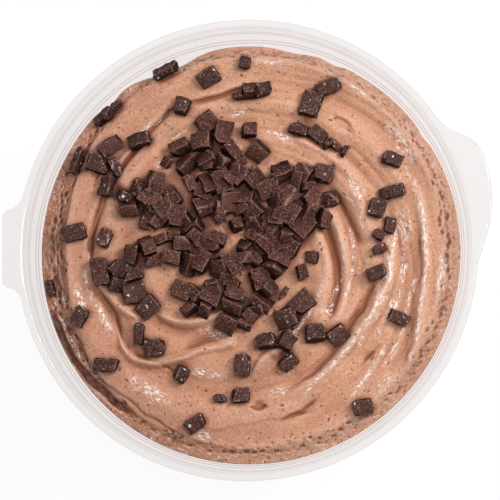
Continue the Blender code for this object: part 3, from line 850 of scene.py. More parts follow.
def make_mousse(material, ground):
    """The mousse: its swirled top on rings that follow the swirl, then its side and underside."""
    turns = np.linspace(0, 360, TOP_SEGMENTS, endpoint=False)
    cos, sin = cos_sin(turns)
    spread = np.arange(1, TOP_RINGS + 1) / TOP_RINGS
    rings = EDGE_R * spread * (1.0 + RING_CROWD * (1.0 - spread))
    ring, turn = np.meshgrid(rings, turns, indexing="ij")
    slide = 1.0 - ring / EDGE_R
    x, y = SWIRL_CENTRE[0] * slide + ring * cos, SWIRL_CENTRE[1] * slide + ring * sin
    sides = moved_aside(INNER_WALL[MOUSSE_WALL:] + INNER_FLOOR, INTO_WALL)
    (top_r, top_z), (foot_r, foot_z) = sides[:2]
    slope = (top_r - foot_r) / (top_z - foot_z)
    brim_z = edge_height(turns)
    brim_r = foot_r + slope * (brim_z - foot_z)
    stretch = 1.0 + (brim_r / EDGE_R - 1.0) * (ring / EDGE_R) ** BRIM_POWER
    x, y = x * stretch, y * stretch
    ragged = with_lumps(ring, x, y, RAGGED)
    notch = notch_share(ragged, turn)
    z = swirl_height(x, y, fine=True) - NOTCH_DEPTH * notch
    z[-1] = brim_z
    rows = [np.stack([x, y, z], axis=-1).reshape(-1, 3)]
    for share in np.linspace(0, 1, SIDE_ROWS + 1)[1:]:
        row_z = brim_z + (foot_z - brim_z) * share
        rows.append(flat_row(foot_r + slope * (row_z - foot_z), cos, sin, row_z))
    rows += [flat_row(r, cos, sin, low_z) for r, low_z in sides[2:-1]]
    pole = [*SWIRL_CENTRE, float(swirl_height(*np.array(SWIRL_CENTRE), fine=True))]
    places = np.concatenate([[pole], *rows, [[0.0, 0.0, sides[-1][1]]]])
    mesh = grid_mesh("mousse_top", places, TOP_SEGMENTS)
    porous = band_share(x, y, ring, turn)
    trench = porous * bell(turn_between(turn, TRENCH_TURN) / TRENCH_SPREAD)
    # Each name's value at the swirl's centre, over the top, and on the side and underside
    # crest and crease also lead the painted light on crests and ridges and the painted shade in hollows and
    # creases; near is the painted shadow round the chunks and in the gap at the wall
    values = {
        "crest": (0.0, hump(z, CREST_ROWS), 0.0),
        "crease": (0.0, hump(z, CREASE_ROWS), 0.0),
        "porous": (0.0, porous, 0.5),
        "trench": (0.0, trench, 0.0),
        "wet": (0.0, wet_share(ragged, turn), 0.0),
        "near": (1.0, np.maximum(ground.painted_chunk_shade(x, y), notch), 0.0),
    }
    below = len(places) - 1 - ring.size
    for name, (centre, over, under) in values.items():
        set_values(mesh, name, np.concatenate([[centre], over.ravel(), np.full(below, under)]))
    return new_object("mousse_filling", mesh, material)


def hump(rows, count):
    """How far each row stands above the mean of the rows this many before and after it."""
    places, last = np.arange(len(rows)), len(rows) - 1
    after, before = rows[np.clip(places + count, 0, last)], rows[np.clip(places - count, 0, last)]
    return rows - 0.5 * (after + before)


def heap_spot(random, inset):
    """A random place round the heap's centre, and whether it is this far inside the heap's outline."""
    out = Vector(random.uniform(-max(HEAP_REACH), max(HEAP_REACH), 2))
    turn = math.degrees(math.atan2(out.y, out.x)) % 360.0
    reach = np.interp(turn, np.linspace(0, 360, len(HEAP_REACH) + 1), HEAP_REACH + HEAP_REACH[:1])
    return Vector(HEAP_CENTRE) + out, out.length <= reach - inset


def heap_places(random):
    """Where the heap's chunks go, as (x, y), layer by layer, evenly spaced inside the heap's outline."""
    places = []
    layer = [Vector(chunk[:2]) for chunk in LOOSE_CHUNKS]
    for inset, spacing in HEAP_LAYERS:
        for _ in range(HEAP_TRIES):
            place, inside = heap_spot(random, inset)
            if inside and all((place - other).length > spacing for other in layer):
                layer.append(place)
                places.append(place)
        layer = []
    return places


def chunk_list():
    """All chunks as (x, y, turn, tip, length, width, thickness), the loose ones first."""
    random = np.random.default_rng(CHUNK_SEED)
    chunks = []
    for x, y, turn, long, wide in LOOSE_CHUNKS:
        chunks.append((x, y, turn, 0.0, long, wide, random.uniform(*CHUNK_THICK)))
    for x, y in heap_places(random):
        long, wide, thick = [random.uniform(*limits) for limits in (CHUNK_LONG, CHUNK_WIDE, CHUNK_THICK)]
        turn, tip = random.uniform(0, 180), random.uniform(-TIP, TIP)
        if random.random() < BROKEN_SHARE:
            long, wide = long * random.uniform(*BROKEN_SIZE), wide * random.uniform(*BROKEN_SIZE)
        if random.random() < ON_EDGE_SHARE:
            wide, thick = thick, wide * ON_EDGE_THIN
        chunks.append((x, y, turn, tip, long, wide, thick))
    return chunks


class Ground:
    """The height of what a chunk falls on, kept on a square grid that grows with each chunk."""

    STEP = 0.5
    HALF = 46.0

    def __init__(self):
        line = np.arange(-self.HALF, self.HALF + self.STEP, self.STEP)
        self.x, self.y = np.meshgrid(line, line)
        self.z = swirl_height(self.x, self.y)
        self.start = self.z.copy()
        self.bare = np.ones_like(self.z)

    def cell(self, x, y):
        """The grid's row and column nearest to a point."""
        return tuple(int(round((value + self.HALF) / self.STEP)) for value in (y, x))

    def painted_chunk_shade(self, x, y):
        """The painted shade round the chunks at each place, from 0 to 1: close round each chunk, and in
        patches inside the heap.
        """
        raised = np.clip(self.z - self.start, 0.0, RAISED_MOST)
        close = smooth_step(self.spread_out(raised, CLOSE_STEPS) / CLOSE_FULL)
        crowd = smooth_step((self.spread_out(raised, CROWD_STEPS) - CROWD_FROM) / CROWD_RISE)
        patches = np.clip(with_lumps(PATCH_LEVEL, self.x, self.y, PATCHES), 0.0, 1.0)
        shade = np.maximum(close, HEAP_SHADE * patches * crowd)
        return table_value(shade, (y + self.HALF) / self.STEP, (x + self.HALF) / self.STEP)

    def spread_out(self, values, reach):
        """The mean of the values within some steps of each place."""
        for axis in (0, 1):
            values = sum(np.roll(values, step, axis) for step in range(-reach, reach + 1)) / (2 * reach + 1)
        return values

    def kept_inside(self, centre, axes, size):
        """The chunk's centre, moved towards the cup's axis if a corner would reach the wall."""
        halves = [length / 2 + CHUNK_GROWTH for length in size]
        over = 0.0
        for signs in product((-1, 1), repeat=3):
            corner = centre + axes @ Vector([sign * half for sign, half in zip(signs, halves)])
            over = max(over, corner.xy.length - (wall_radius(corner.z) - CLEARANCE))
        inward = -centre.xy.normalized() * over
        return centre + Vector((inward.x, inward.y, 0.0))

    def settle(self, chunk):
        """Lays a chunk on the ground and returns its place, as a matrix in millimetres."""
        x, y, turn, tip, long, wide, thick = chunk
        c, s = math.cos(math.radians(turn)), math.sin(math.radians(turn))
        u = (self.x - x) * c + (self.y - y) * s
        v = -(self.x - x) * s + (self.y - y) * c
        under = (abs(u) < long / 2) & (abs(v) < wide / 2)
        from_x, from_y, ground = self.x[under] - x, self.y[under] - y, self.z[under]
        rows = np.column_stack([from_x, from_y, np.ones_like(from_x)])
        slope_x, slope_y = np.linalg.lstsq(rows, ground, rcond=None)[0][:2]
        ease = min(1.0, STEEPEST / max(math.hypot(slope_x, slope_y), TINY))
        lean = Vector((0, 0, 1)).rotation_difference(Vector((-slope_x * ease, -slope_y * ease, 1.0)))
        turned = lean.to_matrix() @ Matrix.Rotation(math.radians(turn), 3, "Z")
        axes = turned @ Matrix.Rotation(math.radians(tip), 3, "X")
        up = axes.col[2]
        plane = -(up.x * from_x + up.y * from_y) / up.z
        level = np.quantile(ground - plane, REST_QUANTILE) - CHUNK_SINK * float(self.bare[under].mean())
        centre = Vector((x, y, level)) + up * (thick / 2)
        half_height = abs(axes.col[0].z) * long / 2 + abs(axes.col[1].z) * wide / 2 + up.z * thick / 2
        centre.z = min(centre.z, HEAP_TOP - half_height)
        centre = self.kept_inside(centre, axes, chunk[4:])
        top = centre + up * (thick / 2)
        above = top.z - (up.x * (self.x[under] - top.x) + up.y * (self.y[under] - top.y)) / up.z
        self.z[under] = np.maximum(ground, above)
        self.bare[under] = 0.0
        return Matrix.Translation(centre) @ axes.to_4x4()


def cube_template(cuts):
    """The points and faces of a unit cube cut into small squares, smaller towards its edges."""
    work = bmesh.new()
    bmesh.ops.create_cube(work, size=1.0)
    bmesh.ops.subdivide_edges(work, edges=work.edges, cuts=cuts, use_grid_fill=True)
    work.verts.ensure_lookup_table()
    points = np.array([v.co for v in work.verts])
    points = points * (1.0 + CHUNK_CROWD * (1.0 - 4 * points**2))
    faces = np.array([[v.index for v in f.verts] for f in work.faces])
    work.free()
    return points, faces


def chunk_shape(points, size, wet, random):
    """A chunk's points: a block with shifted corners, some of them broken off, worn edges and a rough skin.

    Also returns how near each point is to an edge, from 0 to 1.
    """
    half = np.array(size) / 2
    places = points * 2 * half
    worn = min(DRY_ROUND + (WET_ROUND - DRY_ROUND) * wet, half.min() * MOST_ROUND)
    inner = half - worn
    core = np.clip(places, -inner, inner)
    out = places - core
    length = np.linalg.norm(out, axis=1, keepdims=True)
    places = core + out / np.maximum(length, TINY) * np.minimum(length, worn)
    corners = random.uniform(-CORNER_SHIFT, CORNER_SHIFT, (2, 2, 2, 3)) * half
    shares = np.moveaxis(np.stack([0.5 - points, 0.5 + points]), 2, 0)
    places = places + np.einsum("ai,bi,ci,abcd->id", *shares, corners)
    edge = smooth_step((np.sort(abs(points) * 2, axis=1)[:, 1] - EDGE_FROM) / EDGE_RISE)
    for _ in range(random.choice(BREAKS)):
        way = random.standard_normal(3)
        way = way / np.linalg.norm(way)
        if abs(way).max() > FLAT_BREAK:
            continue
        beyond = places @ way - random.uniform(*BREAK_DEPTH) * np.abs(way * half).sum()
        places = places - np.maximum(beyond, 0.0)[:, None] * way * BREAK_PUSH
        edge = np.where(beyond > BREAK_EDGE, 0.0, np.maximum(edge, 1.0 - np.abs(beyond) / BREAK_EDGE))
    for scale, strength in WAVES:
        shift = random.uniform(0, 2 * math.pi, 3)
        wave = np.sin(places[:, [1, 2, 0]] * scale * 2 + shift) * np.cos(places[:, [2, 0, 1]] * scale * 1.7)
        places = places + wave * CHUNK_ROUGH * strength
    return places, edge


def filler_list(ground, random):
    """Small pieces, as the chunks are listed, for the gaps that show mousse inside the heap's outline."""
    for _ in range(HEAP_TRIES):
        (x, y), inside = heap_spot(random, FILLER_INSET)
        if inside and ground.bare[ground.cell(x, y)] > 0:
            size = [random.uniform(*limits) for limits in (FILLER_LONG, FILLER_WIDE, FILLER_THICK)]
            yield (x, y, random.uniform(0, 180), random.uniform(-TIP, TIP), *size)


def chocolate_parts(ground, random):
    """Each piece of chocolate as (cuts, size, wetness, place), its place as a matrix in millimetres."""
    for chunk in chunk_list():
        place = ground.settle(chunk)
        far = math.hypot(chunk[0] - HEAP_CENTRE[0], chunk[1] - HEAP_CENTRE[1])
        wet = float(smooth_step((far - WET_FROM) / WET_RISE)) * random.uniform(WET_LEAST, 1.0)
        yield CHUNK_CUTS, np.array(chunk[4:]) * CHUNK_SHRINK, wet, place
    for filler in islice(filler_list(ground, random), FILLERS):
        yield FILLER_CUTS, np.array(filler[4:]), FILLER_WET, ground.settle(filler)
    for _ in range(CRUMBS):
        turn, far = random.uniform(0, 2 * math.pi), random.uniform(*CRUMB_FAR)
        x, y = HEAP_CENTRE[0] + far * math.cos(turn), HEAP_CENTRE[1] + far * math.sin(turn)
        if math.hypot(x, y) > EDGE_R - CRUMB_CLEAR:
            continue
        size = random.uniform(*CRUMB_SIZE, 3)
        z = float(ground.z[ground.cell(x, y)]) + size.min() * CRUMB_LIFT
        spin = Matrix.Rotation(random.uniform(0, math.pi), 4, "Z")
        lean = Matrix.Rotation(random.uniform(-CRUMB_LEAN, CRUMB_LEAN), 4, "X")
        yield CRUMB_CUTS, size, CRUMB_WET, Matrix.Translation((x, y, z)) @ (spin @ lean)


def make_chunks(material, ground):
    """All the chocolate chunks, the small pieces between them and the crumbs round them, as one mesh."""
    random = np.random.default_rng(SHAPE_SEED)
    templates = {cuts: cube_template(cuts) for cuts in (CHUNK_CUTS, FILLER_CUTS, CRUMB_CUTS)}
    pieces, count = [], 0
    # All are placed before the first is shaped, so each kind of choice draws its random numbers in a row
    for cuts, size, wet, place in list(chocolate_parts(ground, random)):
        points, faces = templates[cuts]
        local, edge = chunk_shape(points, size, wet, random)
        place, same = np.array(place), np.ones(len(local))
        turned = local @ place[:3, :3].T
        # How far each point lies below its chunk's top, for the painted shade towards the bottom
        low = np.clip((turned[:, 2].max() - turned[:, 2]) / CHUNK_THICK[1], 0.0, 1.0)
        pieces.append((turned + place[:3, 3], faces + count, edge, wet * same, random.random() * same, low))
        count += len(local)
    places, faces, *values = [np.concatenate(column) for column in zip(*pieces)]
    mesh = bpy.data.meshes.new("chunks")
    mesh.from_pydata((places * MM).tolist(), [], faces.tolist())
    mesh.shade_smooth()
    for name, column in zip(("edge", "wet", "shade", "low"), values):
        set_values(mesh, name, column)
    return new_object("chocolate_chunks", mesh, material)


def left_tab_outline():
    """The left tab: a straight-sided tongue with rounded corners and a fillet at its root on each side."""
    fillet_y = LEFT_TAB_HALF + LEFT_TAB_FILLET
    fillet_x = -math.sqrt((FLANGE_R + LEFT_TAB_FILLET) ** 2 - fillet_y**2)
    root = math.degrees(math.atan2(fillet_y, -fillet_x))
    corner_x = -LEFT_TAB_REACH + LEFT_TAB_CORNER
    corner_y = LEFT_TAB_HALF - LEFT_TAB_CORNER
    upper = arc(fillet_x, fillet_y, LEFT_TAB_FILLET, -root, -90)
    upper += arc(corner_x, corner_y, LEFT_TAB_CORNER, 90, 180)
    outline = upper + [(x, -y) for x, y in reversed(upper)]
    return [(x, y + LEFT_TAB_MIDDLE) for x, y in outline]


def flange_edge():
    """The flange's outline as directions in degrees and radii, with both tabs in it."""
    left = left_tab_outline()
    left_turns = [math.degrees(math.atan2(y, x)) % 360.0 for x, y in left]
    left_radii = [math.hypot(x, y) for x, y in left]
    turns = np.arange(0, 360, 360.0 / CUP_SEGMENTS)
    turns = turns[(turns < left_turns[0] - TAB_CLEAR) | (turns > left_turns[-1] + TAB_CLEAR)]
    right = turn_between(turns, 0.0)
    first, last = RIGHT_TAB[0][0], RIGHT_TAB[-1][0]
    swell = along_curve(np.clip(right, first, last), RIGHT_TAB)
    plain = FLANGE_R + np.where((right > first) & (right < last), swell, 0.0)
    steps = np.linspace(0, len(left) - 1, len(left) * 2 - 1)
    fine_turns = np.interp(steps, range(len(left)), left_turns)
    fine_radii = np.interp(steps, range(len(left)), left_radii)
    across = len(left) // 2 - 1
    flat = np.linspace(left_turns[across], left_turns[across + 1], TAB_FLAT_STEPS)[1:-1]
    all_turns = np.concatenate([turns, fine_turns, flat])
    all_radii = np.concatenate([plain, fine_radii, np.full(len(flat), 2 * FLANGE_R)])
    straight = LEFT_TAB_REACH / np.maximum(-np.cos(np.radians(all_turns)), TINY)
    all_radii = np.minimum(all_radii, straight)
    order = np.argsort(all_turns, kind="stable")
    return all_turns[order], all_radii[order]


def make_cup(material):
    """The cup: its profile swept round, with the flange's edge moved out to the tabs."""
    inner = rounded(INNER_WALL + INNER_FLOOR, CORNER_ROUND)
    outer = rounded(moved_aside(INNER_WALL + INNER_FLOOR, SHELL), CORNER_ROUND)
    underside = CUP_HEIGHT - FLANGE_THICK
    outer = [point for point in outer if point[1] < underside - UNDER_FLANGE]
    turns, reach = flange_edge()
    cos, sin = cos_sin(turns)
    rows = [flat_row(r, cos, sin, z) for r, z, _ in reversed(inner[1:-1])]
    rows.append(flat_row(wall_radius(CUP_HEIGHT - LIP), cos, sin, CUP_HEIGHT - LIP))
    mouth_r = INNER_WALL[0][0]
    edge = reach - FLANGE_ROUND
    steps = np.linspace(0, 1, FLANGE_STEPS)
    for share in steps:
        rows.append(flange_row(mouth_r + LIP + (edge - mouth_r - 2 * LIP) * share, cos, sin, CUP_HEIGHT))
    bends = [(math.sin(a), 1 - math.cos(a)) for a in np.radians(np.linspace(0, 180, EDGE_STEPS + 1))]
    for out, down in bends:
        rows.append(flange_row(edge + FLANGE_ROUND * out, cos, sin, CUP_HEIGHT - down * FLANGE_THICK / 2))
    for share in reversed(steps):
        r = mouth_r + SHELL + (edge - LIP - mouth_r - SHELL) * share
        rows.append(flange_row(r, cos, sin, underside))
    rows += [flat_row(r, cos, sin, z) for r, z, _ in outer[:-1]]
    flat = [0.0] * FLANGE_STEPS
    # How strongly each row takes the painted reflection line
    corners = [share for _, _, share in reversed(inner[1:-1])]
    corners += [MOUTH_TONE, *flat, *(EDGE_TONE * out for out, _ in bends), *flat]
    corners += [0.0] * (len(outer) - 1)
    places = np.concatenate([[[0.0, 0.0, inner[-1][1]]], *rows, [[0.0, 0.0, outer[-1][1]]]])
    mesh = grid_mesh("cup_shell", places, len(turns))
    set_values(mesh, "corner", np.concatenate([[0.0], np.repeat(corners, len(turns)), [0.0]]))
    inside = (len(inner) + FLANGE_STEPS + len(bends) // 2) * len(turns) + 1
    set_values(mesh, "outer", (np.arange(len(places)) >= inside).astype(float))
    return new_object("clear_cup", mesh, material)


def flat_row(r, cos, sin, z):
    """One level row of points round the axis."""
    return np.column_stack([r * cos, r * sin, np.full_like(cos, z)])


def flange_row(r, cos, sin, z):
    """One row of the flange's points. The left tab droops a little beyond its crease."""
    x, y = r * cos, r * sin
    droop = np.clip((-x - LEFT_TAB_CREASE) / (LEFT_TAB_REACH - LEFT_TAB_CREASE), 0, 1) * LEFT_TAB_DROOP
    return np.column_stack([x, y, z - droop])


class Nodes:
    """A short way to write a material's nodes. Its colour is painted in layers, from its own tones."""

    def __init__(self, name, tones=None):
        self.material = bpy.data.materials.new(name)
        self.material.use_nodes = True
        self.tree = self.material.node_tree
        self.shader = self.tree.nodes["Principled BSDF"]
        self.tones = tones or {"body": (0, 0, 0)}
        self.colour = (*self.tones["body"], 1)

    def add(self, kind, inputs=None, **settings):
        """Adds a node, sets its settings and fills its inputs with values or other nodes' outputs."""
        node = self.tree.nodes.new(kind)
        for name, value in settings.items():
            setattr(node, name, value)
        for key, value in (inputs or {}).items():
            self.put(node.inputs[key], value)
        return node

    def put(self, socket, value):
        """Links an output to a socket, or sets its value."""
        if isinstance(value, bpy.types.NodeSocket):
            self.tree.links.new(value, socket)
        else:
            socket.default_value = value

    def finished(self, values):
        """Fills the shader's sockets with values or outputs, and returns the material."""
        for name, value in values.items():
            self.put(self.shader.inputs[name], value)
        return self.material

    def value(self, name):
        """A number stored on the mesh's points."""
        return self.add("ShaderNodeAttribute", attribute_name=name).outputs["Fac"]

    def maths(self, operation, a, b):
        """The result of a sum on two numbers."""
        return self.add("ShaderNodeMath", {0: a, 1: b}, operation=operation).outputs[0]

    def times(self, a, b):
        """One number times another."""
        return self.maths("MULTIPLY", a, b)

    def most(self, first, *others):
        """The largest of some numbers."""
        for other in others:
            first = self.maths("MAXIMUM", first, other)
        return first

    def noise(self, size_mm, detail=2.0, rough=0.5, vector=None):
        """Noise with features about this many millimetres apart."""
        inputs = {"Scale": 1.0 / (size_mm * MM), "Detail": detail, "Roughness": rough}
        inputs["Vector"] = vector or self.place()
        return self.add("ShaderNodeTexNoise", inputs).outputs["Fac"]

    def place(self):
        """The point's own place on the object, in metres."""
        return self.add("ShaderNodeTexCoord").outputs["Object"]

    def parts(self, vector):
        """The three numbers of a place or a direction."""
        return self.add("ShaderNodeSeparateXYZ", {0: vector}).outputs

    def swirl_place(self, stretch):
        """A place measured out from and round a point near the cup's axis, drawn out along the swirl."""
        place_x, place_y, place_z = self.parts(self.place())
        x = self.maths("SUBTRACT", place_x, SWIRL_CENTRE[0] * GRAIN_SHIFT * MM)
        y = self.maths("SUBTRACT", place_y, SWIRL_CENTRE[1] * GRAIN_SHIFT * MM)
        out = self.maths("POWER", self.maths("ADD", self.times(x, x), self.times(y, y)), 0.5)
        round_way = self.times(self.maths("ARCTAN2", y, x), GRAIN_RADIUS * MM / stretch)
        return self.add("ShaderNodeCombineXYZ", {0: out, 1: round_way, 2: place_z}).outputs[0]

    def warped(self, place, size_mm, reach_mm):
        """A place pushed about by noise, so that round spots drawn there turn ragged."""
        inputs = {"Scale": 1.0 / (size_mm * MM), "Vector": place}
        push = self.add("ShaderNodeTexNoise", inputs).outputs["Color"]
        for inputs, operation in (({1: (0.5, 0.5, 0.5)}, "SUBTRACT"), ({"Scale": reach_mm * MM}, "SCALE")):
            push = self.add("ShaderNodeVectorMath", {0: push, **inputs}, operation=operation).outputs[0]
        return self.add("ShaderNodeVectorMath", {0: place, 1: push}, operation="ADD").outputs[0]

    def pits(self, place, spacing_mm, least_luck, low, high):
        """Small round spots, one a cell at most, their radius from low to high in cells: 1 inside them."""
        cells = self.add("ShaderNodeTexVoronoi", {"Scale": 1 / (spacing_mm * MM), "Vector": place})
        luck = self.add("ShaderNodeSeparateColor", {0: cells.outputs["Color"]}).outputs[0]
        radius = self.steps(luck, least_luck, 1.0, low - 0.1, high)
        inside = self.maths("SUBTRACT", radius, cells.outputs["Distance"])
        return self.steps(inside, -0.02, 0.06)

    def steps(self, value, low, high, out_low=0.0, out_high=1.0):
        """A number brought from one range to another, and kept inside it."""
        inputs = {"Value": value, "From Min": low, "From Max": high, "To Min": out_low, "To Max": out_high}
        return self.add("ShaderNodeMapRange", inputs).outputs[0]

    def blend(self, share, a, b):
        """Two colours mixed by a share."""
        return self.add("ShaderNodeMix", {0: share, 6: a, 7: b}, data_type="RGBA").outputs[2]

    def paint(self, tone, share):
        """Lays one of the material's tones over its colour so far, by a share."""
        self.colour = self.blend(share, self.colour, (*self.tones[tone], 1))

    def bump(self, height, strength=1.0):
        """A normal bent by a height in metres."""
        inputs = {"Strength": strength, "Distance": 1.0, "Height": height}
        return self.add("ShaderNodeBump", inputs).outputs[0]


def mousse_material():
    """Milky brown mousse, full of tiny holes and wet here and there, with painted light on crests, ridges and
    the band by the wall, painted shade on the left side, in hollows, creases, pits, the band's trench and
    round the chunks, and painted glints where wet.
    """
    n = Nodes("mousse", MOUSSE_TONES)
    crest, crease, near = n.value("crest"), n.value("crease"), n.value("near")
    porous, trench, wet = n.value("porous"), n.value("trench"), n.value("wet")
    n.paint("pale body", n.steps(n.noise(9.0, 3.0), 0.3, 0.7))
    # Painted shade: the colour darkens towards the left side
    place_x, place_y, _ = n.parts(n.place())
    across = n.maths("ADD", place_x, n.times(place_y, 0.35))
    n.paint("shaded side", n.steps(across, 0.012, -0.040, 0.0, 0.6))
    # Painted light: the band along the wall is lightened, except in its trench
    n.paint("lit rim", n.steps(n.maths("SUBTRACT", n.times(porous, 0.6), trench), 0.0, 0.6, 0.0, 0.6))
    # Painted shade in hollows, weaker in the band
    n.paint("hollow", n.times(n.steps(crest, -0.08, -0.75, 0.0, 0.8), n.steps(porous, 0, 1, 1.0, 0.35)))
    # Painted light on crests
    n.paint("crest", n.steps(crest, 0.05, 0.4, 0.0, 0.22))
    fine = n.noise(0.5, 3.0, 0.7)
    n.paint("dark grain", n.steps(fine, 0.46, 0.60, 0.0, 0.48))
    n.paint("pale grain", n.steps(fine, 0.42, 0.30, 0.0, 0.45))
    mottle = n.noise(0.9, 4.0, 0.7)
    n.paint("mottle", n.times(porous, n.steps(mottle, 0.5, 0.62, 0.0, 0.4)))
    # Painted shade in the trench of the band, uneven
    n.paint("trench", n.times(trench, n.steps(mottle, 0.3, 0.6, 1.0, 0.45)))
    grit = n.times(n.pits(n.warped(n.place(), 0.6, 1.0), 0.7, 0.4, 0.1, 0.38), porous)
    n.paint("grit", n.times(grit, 0.7))
    # Painted shadow round the chunks and in the gap at the wall, darker still in the heap's gaps
    n.paint("painted chunk shadow", n.steps(near, 0.05, 0.8, 0.0, 0.9))
    n.paint("painted gap shadow", n.times(n.steps(near, 0.55, 0.95), n.steps(mottle, 0.35, 0.6, 0.4, 0.8)))
    # Painted shade in fine creases
    n.paint("crease", n.steps(crease, -0.05, -0.30, 0.0, 0.85))
    # Painted highlight on fine ridges
    n.paint("painted ridge highlight", n.steps(crease, 0.05, 0.25, 0.0, 0.25))
    ragged = n.warped(n.place(), 0.8, 1.3)
    round_pit = n.pits(ragged, 1.5, 0.3, 0.0, 0.2)
    long_pit = n.pits(n.warped(n.swirl_place(2.4), 0.8, 1.0), 1.7, 0.5, 0.02, 0.15)
    tiny_pit = n.times(n.pits(ragged, 0.8, 0.25, 0.04, 0.27), 0.8)
    holed = n.times(porous, n.steps(across, 0.03, -0.01, 0.3, 0.8))
    band_pit = n.times(n.pits(ragged, 0.8, 0.3, 0.1, 0.42), holed)
    # The pits are dented by the bump below and painted dark as shade inside them
    pit = n.most(round_pit, long_pit, tiny_pit, band_pit)
    n.paint("pit", n.times(pit, 0.9))
    # Painted glints where wet, in small spots along the swirl; the coat there shines as well
    drops = n.noise(0.38, 2.0, 0.6, n.swirl_place(2.2))
    gloss = n.times(n.most(wet, n.times(porous, 0.2)), n.steps(n.noise(1.8), 0.34, 0.52))
    painted_glint_spots = n.most(n.steps(drops, 0.50, 0.57), n.pits(n.swirl_place(1.5), 0.55, 0.3, 0.08, 0.34))
    n.paint("painted wet glint", n.times(n.times(n.steps(gloss, 0.1, 0.6), painted_glint_spots), 0.9))
    skin = n.times(n.noise(0.28, 3.0, 0.6), n.steps(porous, 0, 1, 0.00015, 0.00025))
    skin = n.maths("SUBTRACT", skin, n.times(pit, 0.0003))
    return n.finished({
        "Base Color": n.colour,
        "Roughness": 0.5,
        "Specular IOR Level": 0.35,
        "Normal": n.bump(skin, 0.9),
        "Coat Weight": n.most(n.times(gloss, 0.9), 0.03),
        "Coat Roughness": 0.12,
        "Coat IOR": 1.7,
        "Coat Normal": n.bump(n.times(drops, 0.00025)),
        "Subsurface Weight": 0.15,
        "Subsurface Radius": (1.0, 0.45, 0.25),
        "Subsurface Scale": 0.0010,
    })


def chocolate_material():
    """Dark chocolate: dusted with fine pale grains, with worn edges, darker and shinier where wet, with
    painted shade on steep sides and towards the bottom, and painted glints where wet.
    """
    n = Nodes("dark_chocolate", CHOCOLATE_TONES)
    edge, wet, shade, low = n.value("edge"), n.value("wet"), n.value("shade"), n.value("low")
    n.paint("pale body", n.steps(n.noise(2.0, 3.0), 0.3, 0.7))
    n.paint("pale chunk", n.times(shade, 0.85))
    n.paint("wet", n.times(wet, 0.75))
    n.paint("dust", n.times(n.steps(n.noise(0.55, 4.0, 0.85), 0.48, 0.58), n.steps(wet, 0, 1, 0.6, 0.35)))
    ragged = n.warped(n.place(), 0.5, 0.9)
    specks = n.most(n.pits(ragged, 0.42, 0.15, 0.05, 0.38), n.pits(ragged, 0.31, 0.3, 0.05, 0.40))
    n.paint("speck", n.times(specks, n.steps(wet, 0, 1, 0.75, 0.6)))
    # Painted shade: steep sides darker than the faces turned up
    upward = n.parts(n.add("ShaderNodeTexCoord").outputs["Normal"])[2]
    n.paint("side", n.steps(upward, 0.85, 0.30, 0.0, 0.75))
    # Painted glints on wet chunks: bright spots and bits of their edges
    painted_edge_glint = n.times(n.steps(edge, 0.5, 0.9), n.steps(n.noise(0.8, 3.0), 0.54, 0.60))
    glints = n.most(n.pits(ragged, 1.0, 0.4, 0.06, 0.30), painted_edge_glint)
    n.paint("glint", n.times(glints, n.steps(wet, 0.3, 0.7, 0.0, 0.9)))
    worn = n.times(n.steps(edge, 0.25, 0.85), n.steps(n.noise(0.7, 3.0), 0.34, 0.52))
    n.paint("worn edge", n.times(worn, n.steps(wet, 0, 1, 0.7, 0.35)))
    # Painted shade: darker towards each chunk's bottom
    n.paint("foot", n.steps(low, 0.12, 0.8, 0.0, 0.85))
    height = n.maths("ADD", n.times(n.noise(0.5, 4.0, 0.7), 0.0003), n.times(specks, 0.00006))
    bump = n.bump(height)
    return n.finished({
        "Base Color": n.colour,
        "Roughness": 0.6,
        "Specular IOR Level": 0.09,
        "Normal": bump,
        "Coat Weight": n.steps(wet, 0.2, 0.8, 0.0, 0.3),
        "Coat Roughness": 0.12,
        "Coat Normal": bump,
    })


def plastic_material():
    """Thin clear plastic: see-through and shiny, paler where seen edge on, with painted brownish reflection
    lines at its corners, its mouth and its flange's edge.
    """
    n = Nodes("clear_plastic")
    n.finished({"Base Color": (0.92, 0.89, 0.885, 1), "Roughness": 0.25})
    outer = n.value("outer")
    facing = n.add("ShaderNodeLayerWeight", {"Blend": 0.5}).outputs["Facing"]
    tint = n.blend(n.maths("POWER", facing, 5.0), CLEAR_TINT, GRAZING_TINT)
    # Painted reflection: a brownish line along the corners, the mouth and the flange's edge
    tint = n.blend(n.times(n.value("corner"), 0.85), tint, CORNER_TINT)
    tint = n.blend(outer, tint, OUTER_TINT)
    clear = n.add("ShaderNodeBsdfTransparent", {"Color": tint}).outputs[0]
    cloudy = n.steps(n.noise(14.0), 0.3, 0.7, 0.015, 0.035)
    haze = n.add("ShaderNodeMixShader", {0: cloudy, 1: clear, 2: n.shader.outputs[0]}).outputs[0]
    mirror = n.add("ShaderNodeBsdfAnisotropic", {"Color": (1, 1, 1, 1), "Roughness": 0.08}).outputs[0]
    shine = n.add("ShaderNodeFresnel", {"IOR": 1.4}).outputs[0]
    shine = n.times(n.maths("MINIMUM", shine, 0.07), n.steps(outer, 0, 1, 1.0, 0.15))
    mixed = n.add("ShaderNodeMixShader", {0: shine, 1: haze, 2: mirror})
    n.put(n.tree.nodes["Material Output"].inputs["Surface"], mixed.outputs[0])
    return n.material


def floor_material():
    """A plain pale floor that glows a little, like a light table."""
    return Nodes("floor").finished({
        "Base Color": (0.08, 0.08, 0.08, 1),
        "Roughness": 1.0,
        "Specular IOR Level": 0.0,
        "Emission Color": (1, 1, 1, 1),
        "Emission Strength": 0.93,
    })


def add_light(name, place, size, power):
    """A square soft light that faces the cup."""
    light = bpy.data.lights.new(name, "AREA")
    light.shape = "SQUARE"
    light.size = size
    light.energy = power
    obj = bpy.data.objects.new(name, light)
    obj.location = place
    obj.rotation_euler = (Vector(LIGHTS_AIM) - Vector(place)).to_track_quat("-Z", "Y").to_euler()
    bpy.context.scene.collection.objects.link(obj)


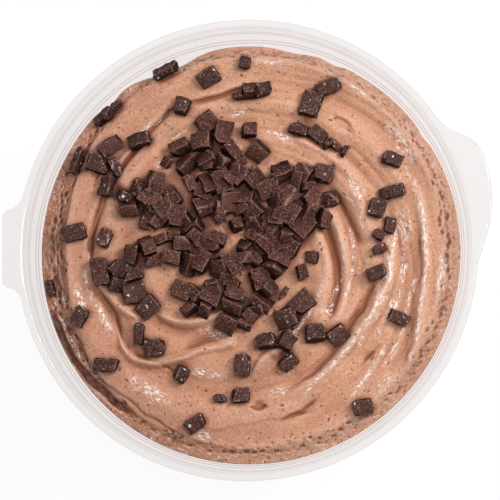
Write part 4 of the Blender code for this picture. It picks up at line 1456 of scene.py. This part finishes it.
def make_camera():
    """The camera: above the cup, leaning a little towards its lower right, with +Y up in the picture."""
    lean = math.radians(CAMERA_LEAN)
    way_x, way_y = CAMERA_WAY
    away = Vector((way_x * math.sin(lean), way_y * math.sin(lean), math.cos(lean))).normalized()
    right = Vector((0, 1, 0)).cross(away).normalized()
    up = away.cross(right)
    aim = Vector((0, 0, CUP_HEIGHT)) + right * FRAME_MIDDLE[0] + up * FRAME_MIDDLE[1]
    data = bpy.data.cameras.new("camera")
    data.sensor_width = SENSOR
    data.lens = FLANGE_PIXELS / FLANGE_R * CAMERA_DISTANCE / IMAGE_PIXELS * SENSOR
    data.clip_start = 0.01
    camera = bpy.data.objects.new("camera", data)
    axes = Matrix((right, up, away)).transposed().to_4x4()
    camera.matrix_world = Matrix.Translation((aim + away * CAMERA_DISTANCE) * MM) @ axes
    bpy.context.scene.collection.objects.link(camera)
    bpy.context.scene.camera = camera


def make_studio():
    """A pale floor, soft light from both sides and above, and an even light all round."""
    mesh = bpy.data.meshes.new("floor")
    corners = [(x * FLOOR_HALF, y * FLOOR_HALF, 0) for x, y in ((-1, -1), (1, -1), (1, 1), (-1, 1))]
    mesh.from_pydata(corners, [], [(0, 1, 2, 3)])
    new_object("floor", mesh, floor_material())
    for light in LIGHTS:
        add_light(*light)
    world = bpy.data.worlds.new("studio")
    world.use_nodes = True
    background = world.node_tree.nodes["Background"].inputs
    background["Color"].default_value = (1, 1, 1, 1)
    background["Strength"].default_value = WORLD_STRENGTH
    bpy.context.scene.world = world
    bpy.context.scene.view_settings.view_transform = "Standard"


def main():
    """Dresses the solids with the three pieces, and sets the camera, the light and the floor."""
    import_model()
    ground = Ground()
    chunks = make_chunks(chocolate_material(), ground)
    mousse = make_mousse(mousse_material(), ground)
    cup = make_cup(plastic_material())
    for piece, slot in ((mousse, "mousse"), (chunks, "dark_chocolate"), (cup, "clear_plastic")):
        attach(piece, "root")
    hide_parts("mousse")
    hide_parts("mousse")
    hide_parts("cup")
    make_camera()
    make_studio()


main()
